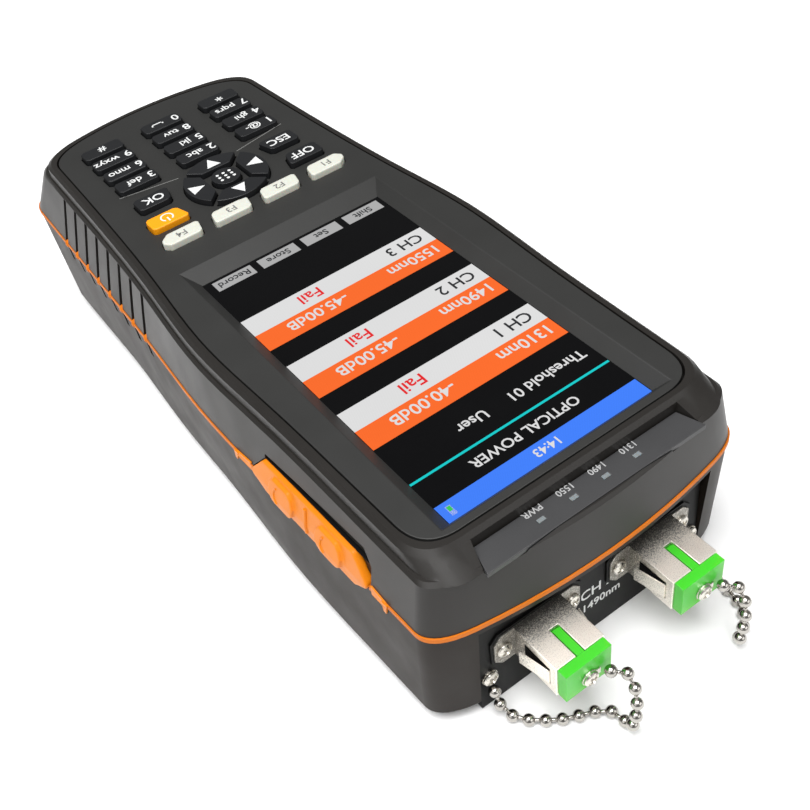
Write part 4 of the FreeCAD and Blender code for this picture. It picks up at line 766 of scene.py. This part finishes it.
# Each tab's length along the wall, the lean of its tip, and the cover's end beside it, in millimetres.
TABS = ((-33.0, 1.6, -39.4), (-90.0, 0.6, -84.9))
tabs = bmesh.new()
for place, lean, cover_end in TABS:
    inside = cover_end - math.copysign(TAB_SHY, cover_end - place)
    tab = [(place - 0.9, 34.6), (place + 0.9, 34.6), (place + 0.5 + lean, 30.9), (place - 0.3 + lean, 30.7)]
    neck = [(place, 34.7), (inside, 35.3), (inside, 32.7), (place, 33.4)]
    for loop in (tab, neck):
        corners = [wall_at(y * MM, z * MM, -1, case_skins) + Vector((TAB_SINK, 0, 0)) for y, z in loop]
        add_slab(tabs, corners, (-TAB_THICKNESS, 0, 0))
piece("seam_tabs", mesh_of(tabs, "seam_tabs"), [ORANGE_RUBBER], "case")

# A near-black sheet in the scoop, just above the port cover's top edge, is painted shade over the gap.
SCOOP_SHADE_FAR = -45.2 * MM
SCOOP_SHADE_NEAR = -83.9 * MM
SCOOP_SHADE_Z = 40.45 * MM
SCOOP_SHADE_STEPS = 16
SCOOP_SHADE_SINK = 0.1 * MM
SCOOP_SHADE_WIDTH = 1.0 * MM
SCOOP_SHADE_THICKNESS = 0.15 * MM
scoop_shade_places = [SCOOP_SHADE_FAR + (SCOOP_SHADE_NEAR - SCOOP_SHADE_FAR) * step / SCOOP_SHADE_STEPS for step in range(SCOOP_SHADE_STEPS + 1)]
inner_edge = [wall_at(y, SCOOP_SHADE_Z, -1, shell_skins) + Vector((SCOOP_SHADE_SINK, 0, 0)) for y in scoop_shade_places]
outer_edge = [place + Vector((-SCOOP_SHADE_WIDTH, 0, 0)) for place in inner_edge]
shade_sheet = bmesh.new()
add_band(shade_sheet, inner_edge, outer_edge, Vector((0, 0, SCOOP_SHADE_THICKNESS)))
piece("scoop_shade_sheet", mesh_of(shade_sheet, "scoop_shade_sheet"), [SLOT_SHADE], "case")


# ---- printed lines, bay and adapters ----

LINE_INNER = Vector((9.5 * MM, 53.4 * MM))
LINE_OUTER = Vector((26.5 * MM, 56.6 * MM))
LINE_WIDTH = Vector((0, 0.28 * MM))
panel_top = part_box("front_panel")[1].z
lines = bmesh.new()
for side in (-1, 1):
    inner, outer = [Vector((side * end.x, end.y)) for end in (LINE_INNER, LINE_OUTER)]
    corners = [inner, outer, outer + LINE_WIDTH, inner + LINE_WIDTH]
    add_plate(lines, corners, panel_top, panel_top + INK_THICKNESS)
piece("panel_lines", mesh_of(lines, "panel_lines"), [GREY_INK], "case")

bay_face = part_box("connector_panel")[0].y
facing_out = Matrix.Rotation(math.radians(90), 4, "X")
BAY_WORDS = (("CH 2", 3.0, -3.6, 14.6), ("1490nm", 2.4, -3.2, 9.8))
bay_words = bmesh.new()
for words, height, x, z in BAY_WORDS:
    where = Matrix.Translation((x * MM, bay_face - INK_LIFT, z * MM)) @ facing_out
    add_words(bay_words, words, height * MM, "LEFT", where)
piece("bay_words", mesh_of(bay_words, "bay_words"), [LEGEND_INK], "case")

BACKING_HALF = 12.4 * MM
BACKING_RISE = 5.5 * MM
BACKING_CLIP = 2.0 * MM
BACKING_THICKNESS = 0.5 * MM
BACKING_OUTLINE = [
    (-BACKING_HALF, BACKING_CLIP - BACKING_RISE), (BACKING_CLIP - BACKING_HALF, -BACKING_RISE),
    (BACKING_HALF - BACKING_CLIP, -BACKING_RISE), (BACKING_HALF, BACKING_CLIP - BACKING_RISE),
    (BACKING_HALF, BACKING_RISE - BACKING_CLIP), (BACKING_HALF - BACKING_CLIP, BACKING_RISE),
    (BACKING_CLIP - BACKING_HALF, BACKING_RISE), (-BACKING_HALF, BACKING_RISE - BACKING_CLIP),
]
BODY_HALF = 6.4 * MM
BODY_FRONT = -117.5 * MM
WINDOW_CORNERS = oblong(BODY_FRONT + 2.2 * MM, BODY_FRONT + 9.6 * MM, -2.6 * MM, 2.6 * MM)
WINDOW_SKIN = 0.03 * MM
LEAF_ROOT = BODY_FRONT + 2.0 * MM
LEAF_TIP = BODY_FRONT + 9.4 * MM
LEAF_FLARE = 1.5 * MM
LEAF_THICKNESS = 0.35 * MM
LEAF_RISE = Vector((0, 0, 2.0 * MM))
backing, window_shades, leaves = bmesh.new(), bmesh.new(), bmesh.new()
for side in CHAIN_ROUTES:
    centre = middle_of(f"adapter_{side}")
    outline = [(centre.x + x, bay_face, centre.z + z) for x, z in BACKING_OUTLINE]
    add_slab(backing, outline, (0, -BACKING_THICKNESS, 0))
    for way in (-1, 1):
        wall = centre.x + way * BODY_HALF
        # Near-black sheets across the adapters' side windows are painted shade of the hollow behind them.
        window = [(wall, y, centre.z + z) for y, z in WINDOW_CORNERS]
        add_slab(window_shades, window, (way * WINDOW_SKIN, 0, 0))
        root = Vector((wall, LEAF_ROOT, centre.z))
        tip = Vector((wall + way * LEAF_FLARE, LEAF_TIP, centre.z))
        corners = [root - LEAF_RISE, tip - LEAF_RISE, tip + LEAF_RISE, root + LEAF_RISE]
        add_slab(leaves, corners, (way * LEAF_THICKNESS, 0, 0))
piece("flange_backing", mesh_of(backing, "flange_backing"), [BAY_PLASTIC], "case")
piece("adapter_window_shades", mesh_of(window_shades, "adapter_window_shades"), [SLOT_SHADE], "case")
piece("adapter_spring_leaves", mesh_of(leaves, "adapter_spring_leaves"), [NICKEL], "case")


# ---- ball chains ----

def chain_line(name, route):
    """Points along a chain's smooth line, read from its spline."""
    line = bpy.data.curves.new(name, "CURVE")
    line.dimensions = "3D"
    line.resolution_u = 24
    spline = line.splines.new("NURBS")
    spline.points.add(len(route) - 1)
    for point, place in zip(spline.points, route):
        point.co = (*[value * MM for value in place], 1)
    spline.order_u = 3
    spline.use_endpoint_u = True
    holder = bpy.data.objects.new(name, line)
    scene.collection.objects.link(holder)
    bpy.context.view_layer.update()
    drawn = bpy.data.meshes.new_from_object(holder.evaluated_get(bpy.context.evaluated_depsgraph_get()))
    points = [vertex.co.copy() for vertex in drawn.vertices]
    bpy.data.objects.remove(holder)
    bpy.data.curves.remove(line)
    bpy.data.meshes.remove(drawn)
    return points


def along(points, distance):
    """The place at a distance along a line of points."""
    for first, last in zip(points, points[1:]):
        step = (last - first).length
        if distance <= step:
            return first.lerp(last, distance / step)
        distance -= step
    return points[-1].copy()


def ball_chain(side):
    """A chain of hollow balls with a short link between each pair."""
    points = chain_line(f"chain_line_{side}", CHAIN_ROUTES[side])
    length = sum((last - first).length for first, last in zip(points, points[1:]))
    count = round((length - BALL_DIAMETER) / BALL_PITCH)
    pitch = (length - BALL_DIAMETER) / count
    centres = [along(points, BALL_DIAMETER / 2 + number * pitch) for number in range(count + 1)]
    shape = bmesh.new()
    for centre in centres:
        bmesh.ops.create_uvsphere(shape, u_segments=20, v_segments=12, radius=BALL_DIAMETER / 2,
                                  matrix=Matrix.Translation(centre))
    for first, last in zip(centres, centres[1:]):
        turn = (last - first).to_track_quat("Z", "Y").to_matrix().to_4x4()
        where = Matrix.Translation((first + last) / 2) @ turn
        bmesh.ops.create_cone(shape, cap_ends=True, segments=10, radius1=LINK_RADIUS, radius2=LINK_RADIUS,
                              depth=(last - first).length, matrix=where)
    chain = piece(f"ball_chain_{side}", mesh_of(shape, f"ball_chain_{side}", True), [CHAIN_STEEL], None)
    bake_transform(chain)
    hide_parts(f"cap_chain_{side}")


for side in CHAIN_ROUTES:
    ball_chain(side)


# ---- cross-head screws ----

SMALL_HEAD = 1.9 * MM
HEAD_HEIGHT = 1.1 * MM
CROSS_TURN = math.radians(27)
FLANGE_INSET = 2.4 * MM


def add_pan_head(shape, centre, radius, height):
    """Add a domed head with a cross recess, facing the connector end, to a bmesh."""
    rings, spokes = 12, 48
    slot_half, slot_reach, slot_depth = 0.17 * radius, 0.62 * radius, 0.5 * height
    loops = []
    for ring in range(1, rings + 1):
        share = ring / rings
        loop = []
        for spoke in range(spokes):
            angle = 2 * math.pi * spoke / spokes
            x, z = share * radius * math.cos(angle), share * radius * math.sin(angle)
            rise = height * (0.35 + 0.65 * math.sqrt(max(0.0, 1 - share ** 2)))
            across = x * math.cos(CROSS_TURN) + z * math.sin(CROSS_TURN)
            up = z * math.cos(CROSS_TURN) - x * math.sin(CROSS_TURN)
            narrow, wide = sorted((abs(across), abs(up)))
            if narrow < slot_half and wide < slot_reach:
                rise -= slot_depth
            loop.append(shape.verts.new((centre.x + x, centre.y - rise, centre.z + z)))
        loops.append(loop)
    foot = [shape.verts.new((vertex.co.x, centre.y, vertex.co.z)) for vertex in loops[-1]]
    loops.append(foot)
    for inner, outer in zip(loops, loops[1:]):
        for spoke in range(spokes):
            after = (spoke + 1) % spokes
            shape.faces.new((inner[spoke], inner[after], outer[after], outer[spoke]))
    shape.faces.new(loops[0])
    shape.faces.new(list(reversed(foot)))


def pan_screws(name, body, replaced, places, radius):
    """Pan-head screws at places on a face that looks to the connector end."""
    low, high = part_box(replaced)
    face = low.y + HEAD_HEIGHT
    lying = Matrix.Rotation(math.radians(-90), 4, "X")
    shape = bmesh.new()
    for x, z in places:
        add_pan_head(shape, Vector((x, face, z)), radius, HEAD_HEIGHT)
        where = Matrix.Translation((x, (face + high.y) / 2, z)) @ lying
        bmesh.ops.create_cone(shape, cap_ends=True, segments=16, radius1=0.5 * radius, radius2=0.4 * radius,
                              depth=high.y - face, matrix=where)
    screws = piece(name, mesh_of(shape, name), [SCREW_STEEL], body)
    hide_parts(replaced)


flange_places = []
for side in CHAIN_ROUTES:
    centre = middle_of(f"cap_screw_{side}")
    place = (centre.x, centre.z)
    pan_screws(f"cap_cross_screw_{side}", f"cap_{side}", f"cap_screw_{side}", [place], SMALL_HEAD)
    low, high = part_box(f"adapter_{side}")
    middle_z = middle_of(f"adapter_{side}").z
    flange_places += [(x, middle_z) for x in (low.x + FLANGE_INSET, high.x - FLANGE_INSET)]
pan_screws("flange_cross_screws", "case", "adapter_screws", flange_places, SMALL_HEAD)
low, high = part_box("anchor_screws")
anchor_z = (low.z + high.z) / 2
pan_screws("anchor_cross_screws", "case", "anchor_screws",
           [(low.x + SMALL_HEAD, anchor_z), (high.x - SMALL_HEAD, anchor_z)], SMALL_HEAD)


# ---- floor, light and camera ----

def floor():
    """A pale floor under the meter."""
    shape = bmesh.new()
    add_plate(shape, oblong(-3, 3, -3, 3), -0.004, 0)
    ground = piece("floor", mesh_of(shape, "floor"), [], None)
    material, tree, shader = blank_finish("pale_floor")
    mottle = maths(tree, "ADD", maths(tree, "MULTIPLY", noise(tree, object_place(tree), 3.0), 0.02), 0.93)
    tree.links.new(mottle, shader.inputs["Base Color"])
    shader.inputs["Roughness"].default_value = 0.9
    shader.inputs["Specular IOR Level"].default_value = 0.1
    ground.data.materials.append(material)


def softbox(name, place, size, power):
    """A soft rectangular lamp that looks at the middle of the meter."""
    lamp = bpy.data.lights.new(name, "AREA")
    lamp.shape = "RECTANGLE"
    lamp.size, lamp.size_y = size
    lamp.energy = power
    holder = bpy.data.objects.new(name, lamp)
    scene.collection.objects.link(holder)
    holder.location = place
    holder.rotation_euler = (Vector((0, 0, 0.03)) - Vector(place)).to_track_quat("-Z", "Y").to_euler()


floor()
softbox("overhead_softbox", (-0.2, -0.15, 0.95), (0.8, 0.7), 15.0)
softbox("left_softbox", (-0.8, -0.2, 0.5), (0.7, 0.6), 1.6)
softbox("front_softbox", (0.35, -0.85, 0.45), (0.8, 0.5), 2.4)

world = bpy.data.worlds.new("studio")
scene.world = world
world.use_nodes = True
sky = world.node_tree.nodes["Background"]
sky.inputs["Color"].default_value = (1, 1, 1, 1)
sky.inputs["Strength"].default_value = 0.22

lens = bpy.data.cameras.new("photo_camera")
lens.lens = CAMERA_LENS
lens.sensor_width = 36
lens.shift_x, lens.shift_y = CAMERA_SHIFT
lens.clip_start = 0.01
camera = bpy.data.objects.new("photo_camera", lens)
scene.collection.objects.link(camera)
camera.location = CAMERA_PLACE
camera.rotation_euler = [math.radians(angle) for angle in CAMERA_TURN]
scene.camera = camera
scene.view_settings.view_transform = "Standard"

bpy.context.view_layer.update()
